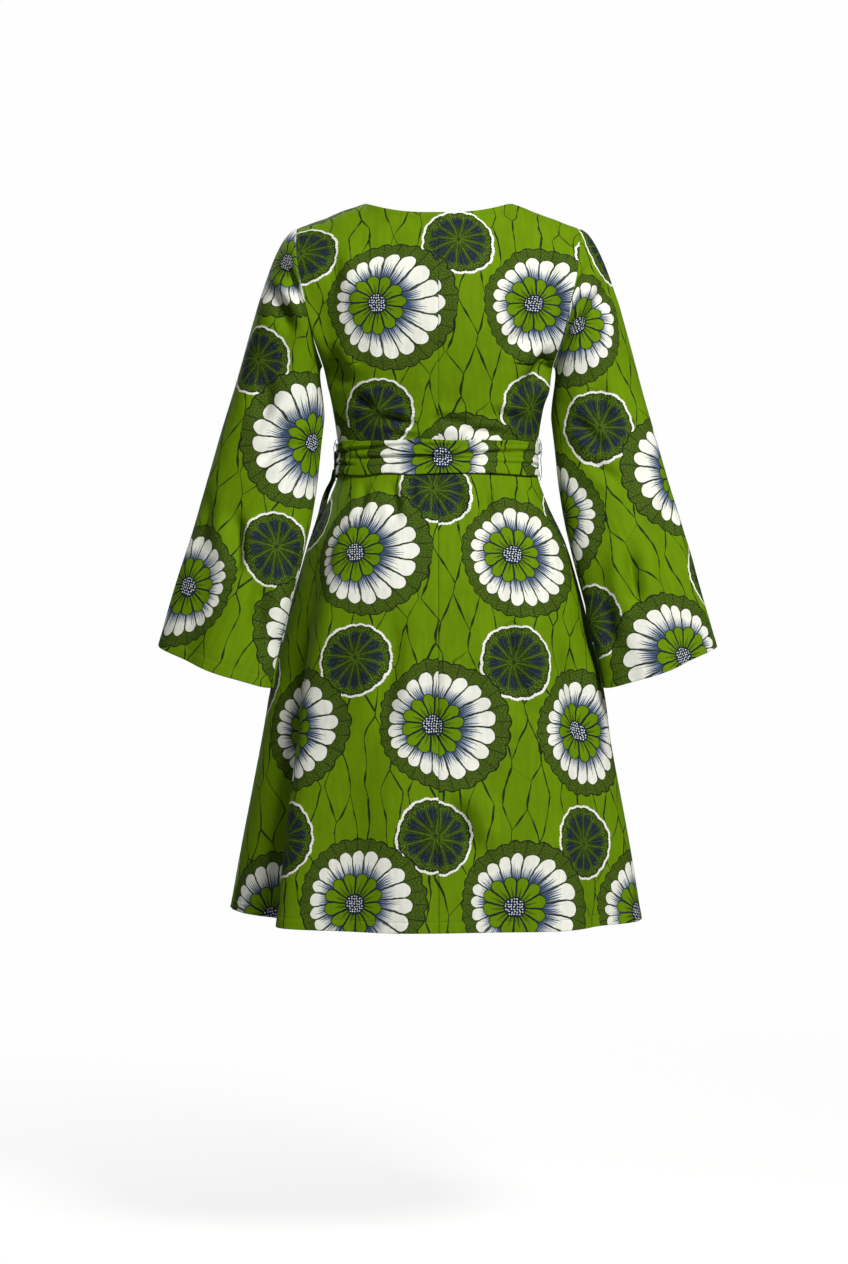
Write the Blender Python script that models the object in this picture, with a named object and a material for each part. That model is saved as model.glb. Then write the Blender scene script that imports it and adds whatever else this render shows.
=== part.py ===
"""Wrap dress with long bell sleeves and a tie belt, cut in print cotton and held as it hangs when worn.

Metres, Z up. The front of the dress faces -Y and the wearer's left is +X.
The origin lies midway between the two neck points of the shoulder seams.
"""
import math

import bpy
import numpy as np

# Cloth and seams
WALL = 0.0012
SEAM_GAP = 0.0003
LAY_GAP = 0.0007
WRAP_GAP = 0.0016
LIFT = WALL + WRAP_GAP

# Levels of the dress
WAIST_Z = -0.370
UNDERARM_Z = -0.235
TIP_Z = -0.036
HEM_Z = -1.035
BELT_HALF = 0.024

# Neck and shoulders
NECK_HALF = 0.107
TIP_HALF = 0.2035
NECK_DIP = -0.020
SHOULDER_SLOPE = -TIP_Z / (TIP_HALF - NECK_HALF)
SHOULDER_ROUND = 0.20

# Armhole: its reach behind and before the side line, and the height that its curve takes
ARM_REACH_BACK = 0.086
ARM_REACH_FRONT = 0.080
ARM_CURVE = 0.150
UNDERARM_GAP = 0.0006

# Roundness of the body's sections, and of the panels above the underarm
RING_POWER = 2.3
CHEST_POWER = 2.2
CHEST_BLEND = 0.090
SIDE_POWER = 8.0
SIDE_BLEND = 0.020

# Wrap: the angle past centre front that each front reaches at the waist, and how the upper one rises
WRAP_ANGLE = 54.0
EDGE_BEND = 1.15
NECK_BEND = 2.5
LIFT_LEAD = 26.0
LIFT_RUN = 20.0

# Hem: its rise towards the front, and at the left side where the flutes swing out
FRONT_RISE = 0.0075
SIDE_RISE = 0.011
SIDE_RISE_ANGLE = 98.0
SIDE_RISE_WIDTH = 25.0
FLUTE_BEND = 1.15

# Bodice: level, half width at the side or armhole, depth behind, depth before
BODICE = np.array([
    (-0.3700, 0.1405, 0.083, 0.106),
    (-0.3410, 0.1445, 0.087, 0.112),
    (-0.3100, 0.1490, 0.092, 0.121),
    (-0.2755, 0.1555, 0.098, 0.131),
    (-0.2350, 0.1650, 0.103, 0.137),
    (-0.2000, 0.1770, 0.106, 0.136),
    (-0.1500, 0.1890, 0.107, 0.128),
    (-0.1090, 0.1980, 0.105, 0.118),
    (-0.0750, 0.2025, 0.101, 0.110),
    (-0.0360, 0.2035, 0.096, 0.104),
    (0.0000, 0.2035, 0.092, 0.100),
    (0.0500, 0.2035, 0.090, 0.098),
])

# Skirt: level, half width at the side, depth behind, depth before
SKIRT = np.array([
    (-0.3700, 0.1405, 0.083, 0.106),
    (-0.3930, 0.1435, 0.089, 0.109),
    (-0.4300, 0.1560, 0.105, 0.115),
    (-0.4900, 0.1830, 0.128, 0.123),
    (-0.5500, 0.2010, 0.146, 0.131),
    (-0.6200, 0.2190, 0.158, 0.141),
    (-0.7000, 0.2370, 0.168, 0.152),
    (-0.7760, 0.2490, 0.177, 0.163),
    (-0.8630, 0.2640, 0.188, 0.176),
    (-0.9280, 0.2750, 0.196, 0.186),
    (-0.9930, 0.2850, 0.204, 0.195),
    (-1.0350, 0.2910, 0.209, 0.201),
])

# Flutes of the skirt: angle from centre back, width in degrees, height at the hem, level where it starts
FLUTES = np.array([
    (46.0, 10.0, 0.010, -0.45),
    (65.0, 12.0, -0.060, -0.38),
    (96.0, 12.0, 0.010, -0.55),
    (24.0, 10.0, -0.009, -0.58),
    (8.0, 9.0, 0.006, -0.62),
    (-12.0, 10.0, -0.008, -0.55),
    (-32.0, 10.0, 0.009, -0.52),
    (-52.0, 10.0, -0.013, -0.50),
    (-72.0, 11.0, 0.007, -0.74),
    (-98.0, 11.0, -0.012, -0.55),
    (-122.0, 12.0, 0.011, -0.52),
    (-147.0, 11.0, -0.014, -0.50),
    (-172.0, 12.0, 0.011, -0.55),
    (162.0, 11.0, -0.012, -0.52),
    (140.0, 11.0, 0.010, -0.50),
    (120.0, 10.0, -0.010, -0.52),
])

# Sleeve rings: level and reach of the outer edge, level and reach of the inner edge, depth, turn, set back
SLEEVE = np.array([
    (-0.285, 0.3003, -0.315, 0.1640, 0.054, 0.006, 0.003),
    (-0.325, 0.3120, -0.355, 0.1685, 0.054, 0.008, 0.008),
    (-0.375, 0.3255, -0.409, 0.1740, 0.054, 0.012, 0.016),
    (-0.425, 0.3395, -0.465, 0.1830, 0.054, 0.018, 0.024),
    (-0.480, 0.3545, -0.527, 0.1975, 0.055, 0.024, 0.033),
    (-0.540, 0.3715, -0.594, 0.2150, 0.056, 0.030, 0.042),
    (-0.590, 0.3850, -0.650, 0.2270, 0.057, 0.034, 0.048),
    (-0.635, 0.3965, -0.698, 0.2370, 0.058, 0.038, 0.052),
])

# How the sleeve's head leaves the armhole: under the arm, half way up and at the shoulder
LEAVE_UNDER = np.array([0.028, 0.0, -0.012])
LEAVE_MIDDLE = np.array([0.055, 0.0, -0.050])
LEAVE_TOP = np.array([0.112, 0.0, -0.018])
UNDER_SHARE = 0.45
TOP_SHARE = 0.55
SLEEVE_SEAM = 1.5 * SEAM_GAP
RING_STEP = 0.05
SLEEVE_FLUTE_BEND = 1.3

# Flutes of a sleeve: angle round it from the outer edge, width in degrees, height at the cuff
SLEEVE_FLUTES = np.array([
    (40.0, 16.0, 0.004),
    (72.0, 15.0, -0.006),
    (105.0, 16.0, 0.005),
    (140.0, 15.0, -0.005),
    (215.0, 16.0, -0.005),
    (250.0, 17.0, 0.005),
    (290.0, 16.0, -0.006),
    (325.0, 16.0, 0.003),
])

# Belt creases: height across the belt as a share, how far the cloth stands out there
BELT_CREASES = np.array([
    (0.00, 0.0000),
    (0.22, 0.0011),
    (0.45, 0.0002),
    (0.70, 0.0013),
    (1.00, 0.0001),
])

# Belt: how square it stands to the front, and where it settles again past the upper front's edge
BELT_FACING = np.array([1.0, 1.6, 0.0])
BELT_SETTLE_LEAD = 182.0
BELT_SETTLE_RUN = 18.0
BELT_END_GAP = 0.6

# Tie at the wearer's left side front: angles in degrees, sizes in metres
KNOT_ANGLE = 112.0
KNOT_HALF_ANGLE = 7.5
KNOT_HEIGHT = 0.040
KNOT_DEPTH = 0.014
KNOT_EDGE = 0.0040
KNOT_WAIST = 0.12
KNOT_ROUND = 0.10
KNOT_CROWN = 0.9
KNOT_FOLD = 0.0015
KNOT_FOLD_LEAN = 0.35
KNOT_FOLD_HALF = 0.28
TAIL_TOP_Z = -0.396
TAIL_END_Z = -0.660
TAIL_HALF_TOP = 0.010
TAIL_HALF_END = 0.023
TAIL_LAY = 0.0021
TAIL_LAY_OVER = 0.0049
TAIL_SHORTER = 0.030
TAIL_BULGE = 0.012
TAIL_BULGE_AT = 0.10
TAIL_BULGE_RUN = 0.16
TAIL_SWING = 0.8
TAIL_SPREAD_RUN = 0.35
TAIL_ROUND = 0.85
TAIL_LEAN = np.array([1.0, 1.0, 0.35])
TAIL_FOLD = 0.0012

# The two hanging ends: name, angle at the knot, angle at the end, height of the end, lay over the skirt
TAILS = (
    ("belt_tail_back", 104.0, 99.0, TAIL_END_Z, TAIL_LAY),
    ("belt_tail_front", 120.5, 127.0, TAIL_END_Z + TAIL_SHORTER, TAIL_LAY_OVER),
)

# Thread belt carriers at the side seams
THREAD = 0.0012
CARRIER_HALF = 0.030
CARRIER_STAND = 0.0062
CARRIER_BEND = 4

# Steps of the panels
BACK_NECK_STEPS = 4
BACK_SIDE_STEPS = 6
FRONT_STEPS = 18
LOW_ROWS = 7
ARM_ROWS = 10
SKIRT_STEP_ANGLE = 6.0
SLEEVE_HEAD_ROWS = 5
SLEEVE_ROWS = 11
BELT_STEPS = 60
KNOT_STEPS = 8
KNOT_ROWS = 6
TAIL_POINTS = 4
TAIL_ROWS = 12
THREAD_STEPS = 8
THREAD_SIDES = 6
SKIRT_SHARES = np.concatenate([[0.0, 0.018, 0.037, 0.068], np.linspace(0.11, 1.0, 14)])

PRINT_GREEN = (0.115, 0.250, 0.010, 1.0)
THREAD_GREEN = (0.030, 0.060, 0.010, 1.0)


def smooth_column(table, column, at):
    """A smooth curve through one column of a table, against its first column."""
    order = np.argsort(table[:, 0])
    keys = table[order, 0]
    values = table[order, column]
    slopes = np.gradient(values, keys)
    at = np.clip(at, keys[0], keys[-1])
    k = np.clip(np.searchsorted(keys, at) - 1, 0, len(keys) - 2)
    width = keys[k + 1] - keys[k]
    t = (at - keys[k]) / width
    start = values[k] * (1 + 2 * t) * (1 - t) ** 2 + slopes[k] * width * t * (1 - t) ** 2
    end = values[k + 1] * t * t * (3 - 2 * t) - slopes[k + 1] * width * t * t * (1 - t)
    return start + end


def ease(t):
    t = np.clip(t, 0.0, 1.0)
    return t * t * (3.0 - 2.0 * t)


def section_shares(angle, power=RING_POWER):
    """How far a point at this angle reaches sideways and in depth, as shares of the section's size."""
    turn = np.radians(angle)
    across = np.sign(np.sin(turn)) * np.abs(np.sin(turn)) ** (2.0 / power)
    deep = np.sign(np.cos(turn)) * np.abs(np.cos(turn)) ** (2.0 / power)
    return across, deep


def shoulder_level(x):
    return -SHOULDER_SLOPE * (np.abs(x) - NECK_HALF)


def torso(angle, z, front=False):
    """The bodice's inner face: angle from centre back round to centre front at 180, level z."""
    across, deep = section_shares(angle)
    half = smooth_column(BODICE, 1, z)
    behind = (np.cos(np.radians(angle)) >= 0.0) & (not front)
    full = np.where(behind, smooth_column(BODICE, 2, z), smooth_column(BODICE, 3, z))
    x = half * across
    rise = ease((z - UNDERARM_Z) / CHEST_BLEND)
    share = (1.0 - rise) * np.abs(deep) + rise * (1.0 - np.abs(across) ** CHEST_POWER)
    climb = np.clip((z - UNDERARM_Z) / ARM_CURVE, 0.0, 1.0)
    reach = np.where(behind, ARM_REACH_BACK, ARM_REACH_FRONT)
    round_edge = reach * np.sqrt(1.0 - (1.0 - climb) ** 2)
    soft_edge = reach * ease((z - UNDERARM_Z + SIDE_BLEND) / (ARM_CURVE + SIDE_BLEND))
    edge = soft_edge + (round_edge - soft_edge) * np.abs(across) ** SIDE_POWER
    depth = edge + (full - edge) * share
    drop = np.clip((shoulder_level(x) - z) / SHOULDER_ROUND, 0.0, 1.0)
    y = np.where(behind, 1.0, -1.0) * depth * np.sqrt(1.0 - (1.0 - drop) ** 2)
    return np.stack([x, y, z + 0.0 * x], axis=-1)


def turn_between(a, b):
    return (a - b + 180.0) % 360.0 - 180.0


def skirt(angle, share):
    """The skirt's inner face: angle from centre back, share of the way from waist to hem."""
    angle = np.asarray(angle, dtype=float) + 0.0 * share
    level = WAIST_Z + share * (HEM_Z - WAIST_Z)
    side_lift = SIDE_RISE * np.exp(-((turn_between(angle, SIDE_RISE_ANGLE)) / SIDE_RISE_WIDTH) ** 2)
    hem = HEM_Z + FRONT_RISE * (1.0 - np.cos(np.radians(angle))) + side_lift
    z = WAIST_Z + share * (hem - WAIST_Z)
    across, deep = section_shares(angle)
    half = smooth_column(SKIRT, 1, level)
    full = np.where(deep >= 0.0, smooth_column(SKIRT, 2, level), smooth_column(SKIRT, 3, level))
    out = 0.0 * level
    for centre, width, height, start in FLUTES:
        grow = np.clip((start - level) / (start - HEM_Z), 0.0, 1.0)
        out = out + height * grow ** FLUTE_BEND * np.exp(-((turn_between(angle, centre)) / width) ** 2)
    x = half * across + out * np.sin(np.radians(angle))
    y = full * deep + out * np.cos(np.radians(angle))
    return np.stack([x, y, z], axis=-1)


def unit(vectors):
    return vectors / np.maximum(np.linalg.norm(vectors, axis=-1, keepdims=True), 1e-12)


def skirt_normals(angle, share):
    """Outward directions of the skirt, the same on both sides of every seam."""
    step_angle = 0.5
    step_share = 0.004
    low = np.clip(share - step_share, 0.0, 1.0)
    high = np.clip(share + step_share, 0.0, 1.0)
    round_way = skirt(angle + step_angle, share) - skirt(angle - step_angle, share)
    down_way = skirt(angle, high) - skirt(angle, low)
    out = np.cross(down_way, round_way)
    facing = np.stack([np.sin(np.radians(angle)), np.cos(np.radians(angle)), 0.0 * angle], axis=-1)
    out = unit(out * np.sign((out * facing).sum(-1, keepdims=True)))
    out[..., 2] = np.where(share <= 0.0, 0.0, out[..., 2])
    return unit(out)


def grid_normals(points, outward, closed=False):
    """Directions square to a grid of points, on the side that outward points to."""
    if closed:
        along = np.roll(points, -1, axis=0) - np.roll(points, 1, axis=0)
    else:
        along = np.gradient(points, axis=0)
    across = np.gradient(points, axis=1)
    normals = unit(np.cross(along, across))
    return normals * np.sign((normals * outward).sum(-1, keepdims=True) + 1e-12)


def draw_in(points, side, distance):
    """Moves one edge of a grid inward along the cloth, for the seam's gap."""
    moved = points.copy()
    if side == "first":
        moved[0] += unit(points[1] - points[0]) * distance
    if side == "last":
        moved[-1] += unit(points[-2] - points[-1]) * distance
    if side == "bottom":
        moved[:, 0] += unit(points[:, 1] - points[:, 0]) * distance
    if side == "top":
        moved[:, -1] += unit(points[:, -2] - points[:, -1]) * distance
    return moved


def cloth_material(name, colour):
    material = bpy.data.materials.new(name)
    material.use_nodes = True
    shader = material.node_tree.nodes["Principled BSDF"]
    shader.inputs["Base Color"].default_value = colour
    shader.inputs["Roughness"].default_value = 0.75
    shader.inputs["Metallic"].default_value = 0.0
    return material


def add_piece(name, vertices, faces, colour=PRINT_GREEN):
    mesh = bpy.data.meshes.new(name)
    mesh.from_pydata([tuple(float(c) for c in v) for v in vertices], [], faces)
    mesh.validate()
    mesh.polygons.foreach_set("use_smooth", [True] * len(mesh.polygons))
    mesh.materials.append(cloth_material(name + "_cloth", colour))
    piece = bpy.data.objects.new(name, mesh)
    bpy.context.scene.collection.objects.link(piece)
    return piece


def wall(name, inner, outer, closed=False, colour=PRINT_GREEN):
    """A closed wall between two grids of points. Closed joins the first column to the last."""
    columns, rows = inner.shape[:2]
    vertices = np.concatenate([inner.reshape(-1, 3), outer.reshape(-1, 3)])
    shift = columns * rows
    spans = columns if closed else columns - 1
    faces = []
    for i in range(spans):
        j = (i + 1) % columns
        for k in range(rows - 1):
            a, b = i * rows + k, j * rows + k
            faces.append((a, b, b + 1, a + 1))
            faces.append((a + shift, a + 1 + shift, b + 1 + shift, b + shift))
        low_a, low_b = i * rows, j * rows
        high_a, high_b = low_a + rows - 1, low_b + rows - 1
        faces.append((low_a, low_a + shift, low_b + shift, low_b))
        faces.append((high_a, high_b, high_b + shift, high_a + shift))
    if not closed:
        last = (columns - 1) * rows
        for k in range(rows - 1):
            faces.append((k, k + 1, k + 1 + shift, k + shift))
            faces.append((last + k, last + k + shift, last + k + 1 + shift, last + k + 1))
    solid = volume(vertices, faces)
    if solid < 0.0:
        faces = [tuple(reversed(face)) for face in faces]
    return add_piece(name, vertices, faces, colour)


def volume(vertices, faces):
    total = 0.0
    for face in faces:
        for n in range(1, len(face) - 1):
            a, b, c = vertices[face[0]], vertices[face[n]], vertices[face[n + 1]]
            total += float(np.dot(a, np.cross(b, c))) / 6.0
    return total


def arm_shares():
    """Shares of the way up an armhole, closer together at the underarm and at the shoulder."""
    return (1.0 - np.cos(np.pi * np.arange(ARM_ROWS + 1) / ARM_ROWS)) / 2.0


def panel_levels(top_levels):
    """Levels of a bodice panel's rows: straight up to the underarm, then spread up to its top edge."""
    low = WAIST_Z + (UNDERARM_Z - WAIST_Z) * np.arange(LOW_ROWS) / LOW_ROWS
    low = np.repeat(low[None, :], len(top_levels), axis=0)
    high = UNDERARM_Z + (top_levels[:, None] - UNDERARM_Z) * arm_shares()[None, :]
    return np.concatenate([low, high], axis=1)


def settle_normals(normals, seam_axes):
    """Turns the directions along each seam so that the two pieces meet square."""
    for columns, rows, axis in seam_axes:
        normals[columns, rows, axis] = 0.0
    return unit(normals)


def back_bodice():
    """Left half of the back, as grids of inner points and directions, from centre back to side."""
    neck_angle = math.degrees(math.asin((NECK_HALF / TIP_HALF) ** (RING_POWER / 2.0)))
    angles = np.concatenate([
        np.linspace(0.0, neck_angle, BACK_NECK_STEPS + 1)[:-1],
        np.linspace(neck_angle, 90.0, BACK_SIDE_STEPS + 1),
    ])
    top_x = TIP_HALF * section_shares(angles)[0]
    dip = NECK_DIP * (1.0 - (top_x / NECK_HALF) ** NECK_BEND)
    top = np.where(np.arange(len(angles)) < BACK_NECK_STEPS, dip, shoulder_level(top_x))
    levels = panel_levels(top)
    points = torso(np.repeat(angles[:, None], levels.shape[1], axis=1), levels)
    normals = grid_normals(points, points * np.array([1.0, 1.0, 0.0]) + np.array([0.0, 0.05, 0.02]))
    seams = [
        (slice(0, 1), slice(None), 0),
        (slice(-1, None), slice(0, LOW_ROWS + 1), 1),
        (slice(BACK_NECK_STEPS, None), slice(-1, None), 1),
        (slice(None), slice(0, 1), 2),
    ]
    return points, settle_normals(normals, seams)


def wrap_edge_angle(z):
    """Angle that the crossing edge of a front reaches at level z, 180 being centre front."""
    full_reach = NECK_HALF + smooth_column(BODICE, 1, WAIST_Z) * section_shares(WRAP_ANGLE)[0]
    x = NECK_HALF - full_reach * np.clip(z / WAIST_Z, 0.0, 1.0) ** EDGE_BEND
    share = np.clip(np.abs(x) / smooth_column(BODICE, 1, z), 0.0, 1.0)
    turn = np.degrees(np.arcsin(share ** (RING_POWER / 2.0)))
    return 180.0 - np.sign(x) * turn


def wrap_lift(angle, edge_angle):
    """How far the upper front stands off so that it clears the front under it."""
    under_edge = 360.0 - edge_angle
    return LIFT * ease((angle - (under_edge - LIFT_LEAD)) / LIFT_RUN)


def front_bodice(over):
    """Left front as grids, from side to crossing edge. Over gives the upper front, mirrored later."""
    shares = np.linspace(0.0, 1.0, FRONT_STEPS + 1)
    top_angles = 90.0 + (wrap_edge_angle(np.array(0.0)) - 90.0) * shares
    top = shoulder_level(TIP_HALF * section_shares(top_angles)[0])
    levels = panel_levels(top)
    edge = wrap_edge_angle(levels[-1])
    angles = 90.0 + (edge[None, :] - 90.0) * shares[:, None]
    points = torso(angles, levels, front=True)
    outward = points * np.array([1.0, 1.0, 0.0]) + np.array([0.0, -0.05, 0.02])
    seams = [
        (slice(0, 1), slice(0, LOW_ROWS + 1), 1),
        (slice(None), slice(-1, None), 1),
        (slice(None), slice(0, 1), 2),
    ]
    normals = settle_normals(grid_normals(points, outward), seams)
    if over:
        points = points + normals * wrap_lift(angles, edge[None, :])[..., None]
    return points, normals


def mirrored(points):
    return points * np.array([-1.0, 1.0, 1.0])


def add_bodice():
    points, normals = back_bodice()
    inner = points
    for side in ("first", "last", "bottom"):
        inner = draw_in(inner, side, SEAM_GAP / 2)
    inner = draw_in(inner, "top", SEAM_GAP)
    outer = inner + normals * WALL
    wall("back_bodice_left", inner, outer)
    wall("back_bodice_right", mirrored(inner), mirrored(outer))
    for name, over in (("front_bodice_left", False), ("front_bodice_right", True)):
        front, front_normals = front_bodice(over)
        inner = draw_in(draw_in(front, "first", SEAM_GAP / 2), "bottom", SEAM_GAP / 2)
        inner = draw_in(inner, "top", SEAM_GAP)
        outer = inner + front_normals * WALL
        if over:
            inner, outer = mirrored(inner), mirrored(outer)
        wall(name, inner, outer)


def skirt_panel(name, first, last, over=False, mirror=False):
    """One skirt panel between two angles from centre back. Over lifts it clear of the panel below."""
    steps = max(2, round(abs(last - first) / SKIRT_STEP_ANGLE))
    angles = np.repeat(np.linspace(first, last, steps + 1)[:, None], len(SKIRT_SHARES), axis=1)
    shares = np.repeat(SKIRT_SHARES[None, :], steps + 1, axis=0)
    normals = skirt_normals(angles, shares)
    points = skirt(angles, shares)
    if over:
        reach = np.abs(angles) if mirror else angles
        points = points + normals * wrap_lift(reach, 180.0 + WRAP_ANGLE)[..., None]
    inner = draw_in(points, "first", SEAM_GAP / 2)
    if abs(last) <= 90.0:
        inner = draw_in(inner, "last", SEAM_GAP / 2)
    inner = draw_in(inner, "bottom", SEAM_GAP / 2)
    wall(name, inner, inner + normals * WALL)


def add_skirt():
    skirt_panel("back_skirt_left", 0.0, 90.0)
    skirt_panel("back_skirt_right", 0.0, -90.0)
    skirt_panel("front_skirt_left", 90.0, 180.0 + WRAP_ANGLE)
    skirt_panel("front_skirt_right", -90.0, -180.0 - WRAP_ANGLE, over=True, mirror=True)


def armhole():
    """The left armhole from the shoulder tip round behind, under and up before, with its directions."""
    back, back_normals = back_bodice()
    front, front_normals = front_bodice(False)
    start = LOW_ROWS
    behind = back[-1, start:][::-1]
    before = front[0, start + 1:-1]
    behind_out = back_normals[-1, start:][::-1]
    before_out = front_normals[0, start + 1:-1]
    return np.concatenate([behind, before]), np.concatenate([behind_out, before_out])


def sleeve_ring(share, turn):
    """A point of the left sleeve: share of the way from upper arm to cuff, angle from the outer edge."""
    at = share * (len(SLEEVE) - 1)
    steps = np.arange(len(SLEEVE), dtype=float)
    columns = [smooth_column(np.column_stack([steps, SLEEVE]), c + 1, at) for c in range(7)]
    outer_z, outer_x, inner_z, inner_x, deep, twist, back = columns
    centre = np.stack([(outer_x + inner_x) / 2, back, (outer_z + inner_z) / 2], axis=-1)
    long_way = np.stack([(outer_x - inner_x) / 2, -twist, (outer_z - inner_z) / 2], axis=-1)
    lean = np.arctan2(twist, (outer_x - inner_x) / 2)
    short_way = np.stack([np.sin(lean), np.cos(lean), 0.0 * lean], axis=-1) * deep[..., None]
    wave = 0.0 * at * turn
    for middle, width, height in SLEEVE_FLUTES:
        near = np.exp(-(turn_between(turn, middle) / width) ** 2)
        wave = wave + height * share ** SLEEVE_FLUTE_BEND * near
    angle = np.radians(turn)
    ring = long_way * np.cos(angle)[..., None] + short_way * np.sin(angle)[..., None]
    return centre + ring + unit(ring) * wave[..., None]


def sleeve_grid():
    """Outer face of the left sleeve, lane by lane round the arm, from armhole to cuff."""
    loop, loop_out = armhole()
    lanes = len(loop)
    turns = 360.0 * np.arange(lanes) / lanes
    low = (UNDERARM_Z - loop[:, 2]) / (UNDERARM_Z - TIP_Z)
    under = 1.0 - ease(low / UNDER_SHARE)
    top = ease((low - TOP_SHARE) / (1.0 - TOP_SHARE))
    middle = 1.0 - under - top
    leave = under[:, None] * LEAVE_UNDER + middle[:, None] * LEAVE_MIDDLE + top[:, None] * LEAVE_TOP
    seat = loop + loop_out * (WALL + UNDERARM_GAP * under)[:, None] + unit(leave) * SLEEVE_SEAM
    zero = np.zeros(lanes)
    ring = sleeve_ring(zero, turns)
    onward = (sleeve_ring(zero + RING_STEP, turns) - ring) / RING_STEP
    drop = np.linalg.norm(ring - seat, axis=-1, keepdims=True)
    arrive = unit(onward) * drop
    t = np.linspace(0.0, 1.0, SLEEVE_HEAD_ROWS + 1)[None, :-1, None]
    head = (
        seat[:, None] * (1 + 2 * t) * (1 - t) ** 2
        + leave[:, None] * t * (1 - t) ** 2
        + ring[:, None] * t * t * (3 - 2 * t)
        - arrive[:, None] * t * t * (1 - t)
    )
    shares = np.linspace(0.0, 1.0, SLEEVE_ROWS + 1)
    body = sleeve_ring(np.repeat(shares[None, :], lanes, 0), np.repeat(turns[:, None], len(shares), 1))
    return np.concatenate([head, body], axis=1), loop_out, under


def add_sleeves():
    outer, loop_out, under = sleeve_grid()
    centre = outer.mean(axis=0, keepdims=True)
    normals = grid_normals(outer, outer - centre, closed=True)
    normals[:, 0] = unit(loop_out * (1.0 - under)[:, None] + normals[:, 0] * under[:, None])
    inner = outer - normals * WALL
    wall("sleeve_left", inner, outer, closed=True)
    wall("sleeve_right", mirrored(inner), mirrored(outer), closed=True)


def belt_surface(angle, z):
    """Inner face of the belt: the waist's own form, moved out clear of both fronts."""
    bodice_side = torso(angle, np.maximum(z, WAIST_Z) + 0.0 * angle)
    skirt_side = skirt(angle, np.clip((WAIST_Z - z) / (WAIST_Z - HEM_Z), 0.0, 1.0) + 0.0 * angle)
    at = np.where((z >= WAIST_Z)[..., None], bodice_side, skirt_side)
    at[..., 2] = z
    reach = np.where(angle < 0.0, -angle, 360.0 - angle)
    settled = ease((reach - BELT_SETTLE_LEAD - WRAP_ANGLE) / BELT_SETTLE_RUN)
    lift = wrap_lift(reach, 180.0 + WRAP_ANGLE) - LIFT * settled
    out = unit(at * BELT_FACING)
    return at + out * (WALL + LAY_GAP + lift)[..., None], out


def add_belt():
    start = KNOT_ANGLE - BELT_END_GAP
    end = KNOT_ANGLE - 360.0 + BELT_END_GAP
    angles = np.repeat(np.linspace(start, end, BELT_STEPS + 1)[:, None], len(BELT_CREASES), axis=1)
    heights = WAIST_Z + BELT_HALF - 2 * BELT_HALF * BELT_CREASES[:, 0]
    levels = np.repeat(heights[None, :], BELT_STEPS + 1, axis=0)
    inner, out = belt_surface(wrapped(angles), levels)
    inner = inner + out * BELT_CREASES[None, :, 1:2]
    wall("belt_band", inner, inner + out * WALL)


def wrapped(angle):
    return np.where(angle < -180.0, angle + 360.0, angle)


def add_knot():
    """The knot: a rounded pad of folded cloth on the belt."""
    across = np.linspace(-1.0, 1.0, KNOT_STEPS + 1)
    up = np.linspace(-1.0, 1.0, KNOT_ROWS + 1)
    across, up = np.meshgrid(across, up, indexing="ij")
    angles = KNOT_ANGLE + across * KNOT_HALF_ANGLE * (1.0 - KNOT_WAIST * up * up)
    levels = WAIST_Z + up * KNOT_HEIGHT / 2 * (1.0 - KNOT_ROUND * across * across)
    base, out = belt_surface(angles, levels)
    base = base + out * (WALL + LAY_GAP + BELT_CREASES[:, 1].max())
    dome = np.sqrt((1.0 - KNOT_CROWN * across ** 2) * (1.0 - KNOT_CROWN * up ** 2))
    fold = KNOT_FOLD * np.exp(-((across - KNOT_FOLD_LEAN * up) / KNOT_FOLD_HALF) ** 2)
    wall("belt_knot", base, base + out * (KNOT_EDGE + (KNOT_DEPTH - KNOT_EDGE) * dome - fold)[..., None])


def add_tail(name, top_angle, end_angle, end_z, lay):
    """One hanging end of the tie, lying on the skirt and bulging where it leaves the knot."""
    across = np.linspace(-1.0, 1.0, TAIL_POINTS)
    down = np.linspace(0.0, 1.0, TAIL_ROWS + 1)
    across, down = np.meshgrid(across, down, indexing="ij")
    z = TAIL_TOP_Z + (end_z - TAIL_TOP_Z) * down
    share = (WAIST_Z - z) / (WAIST_Z - HEM_Z)
    middle = top_angle + (end_angle - top_angle) * down ** TAIL_SWING
    half = TAIL_HALF_TOP + (TAIL_HALF_END - TAIL_HALF_TOP) * ease(down / TAIL_SPREAD_RUN)
    round_at = smooth_column(SKIRT, 1, z)
    angles = middle + across * np.degrees(half / (TAIL_ROUND * round_at))
    out = unit(skirt_normals(angles, share) * TAIL_LEAN)
    bulge = TAIL_BULGE * np.exp(-((down - TAIL_BULGE_AT) / TAIL_BULGE_RUN) ** 2)
    fold = TAIL_FOLD * np.cos(np.pi * across) * (1.0 - down)
    inner = skirt(angles, share) + out * (lay + bulge + fold)[..., None]
    wall(name, inner, inner + out * WALL)


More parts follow.
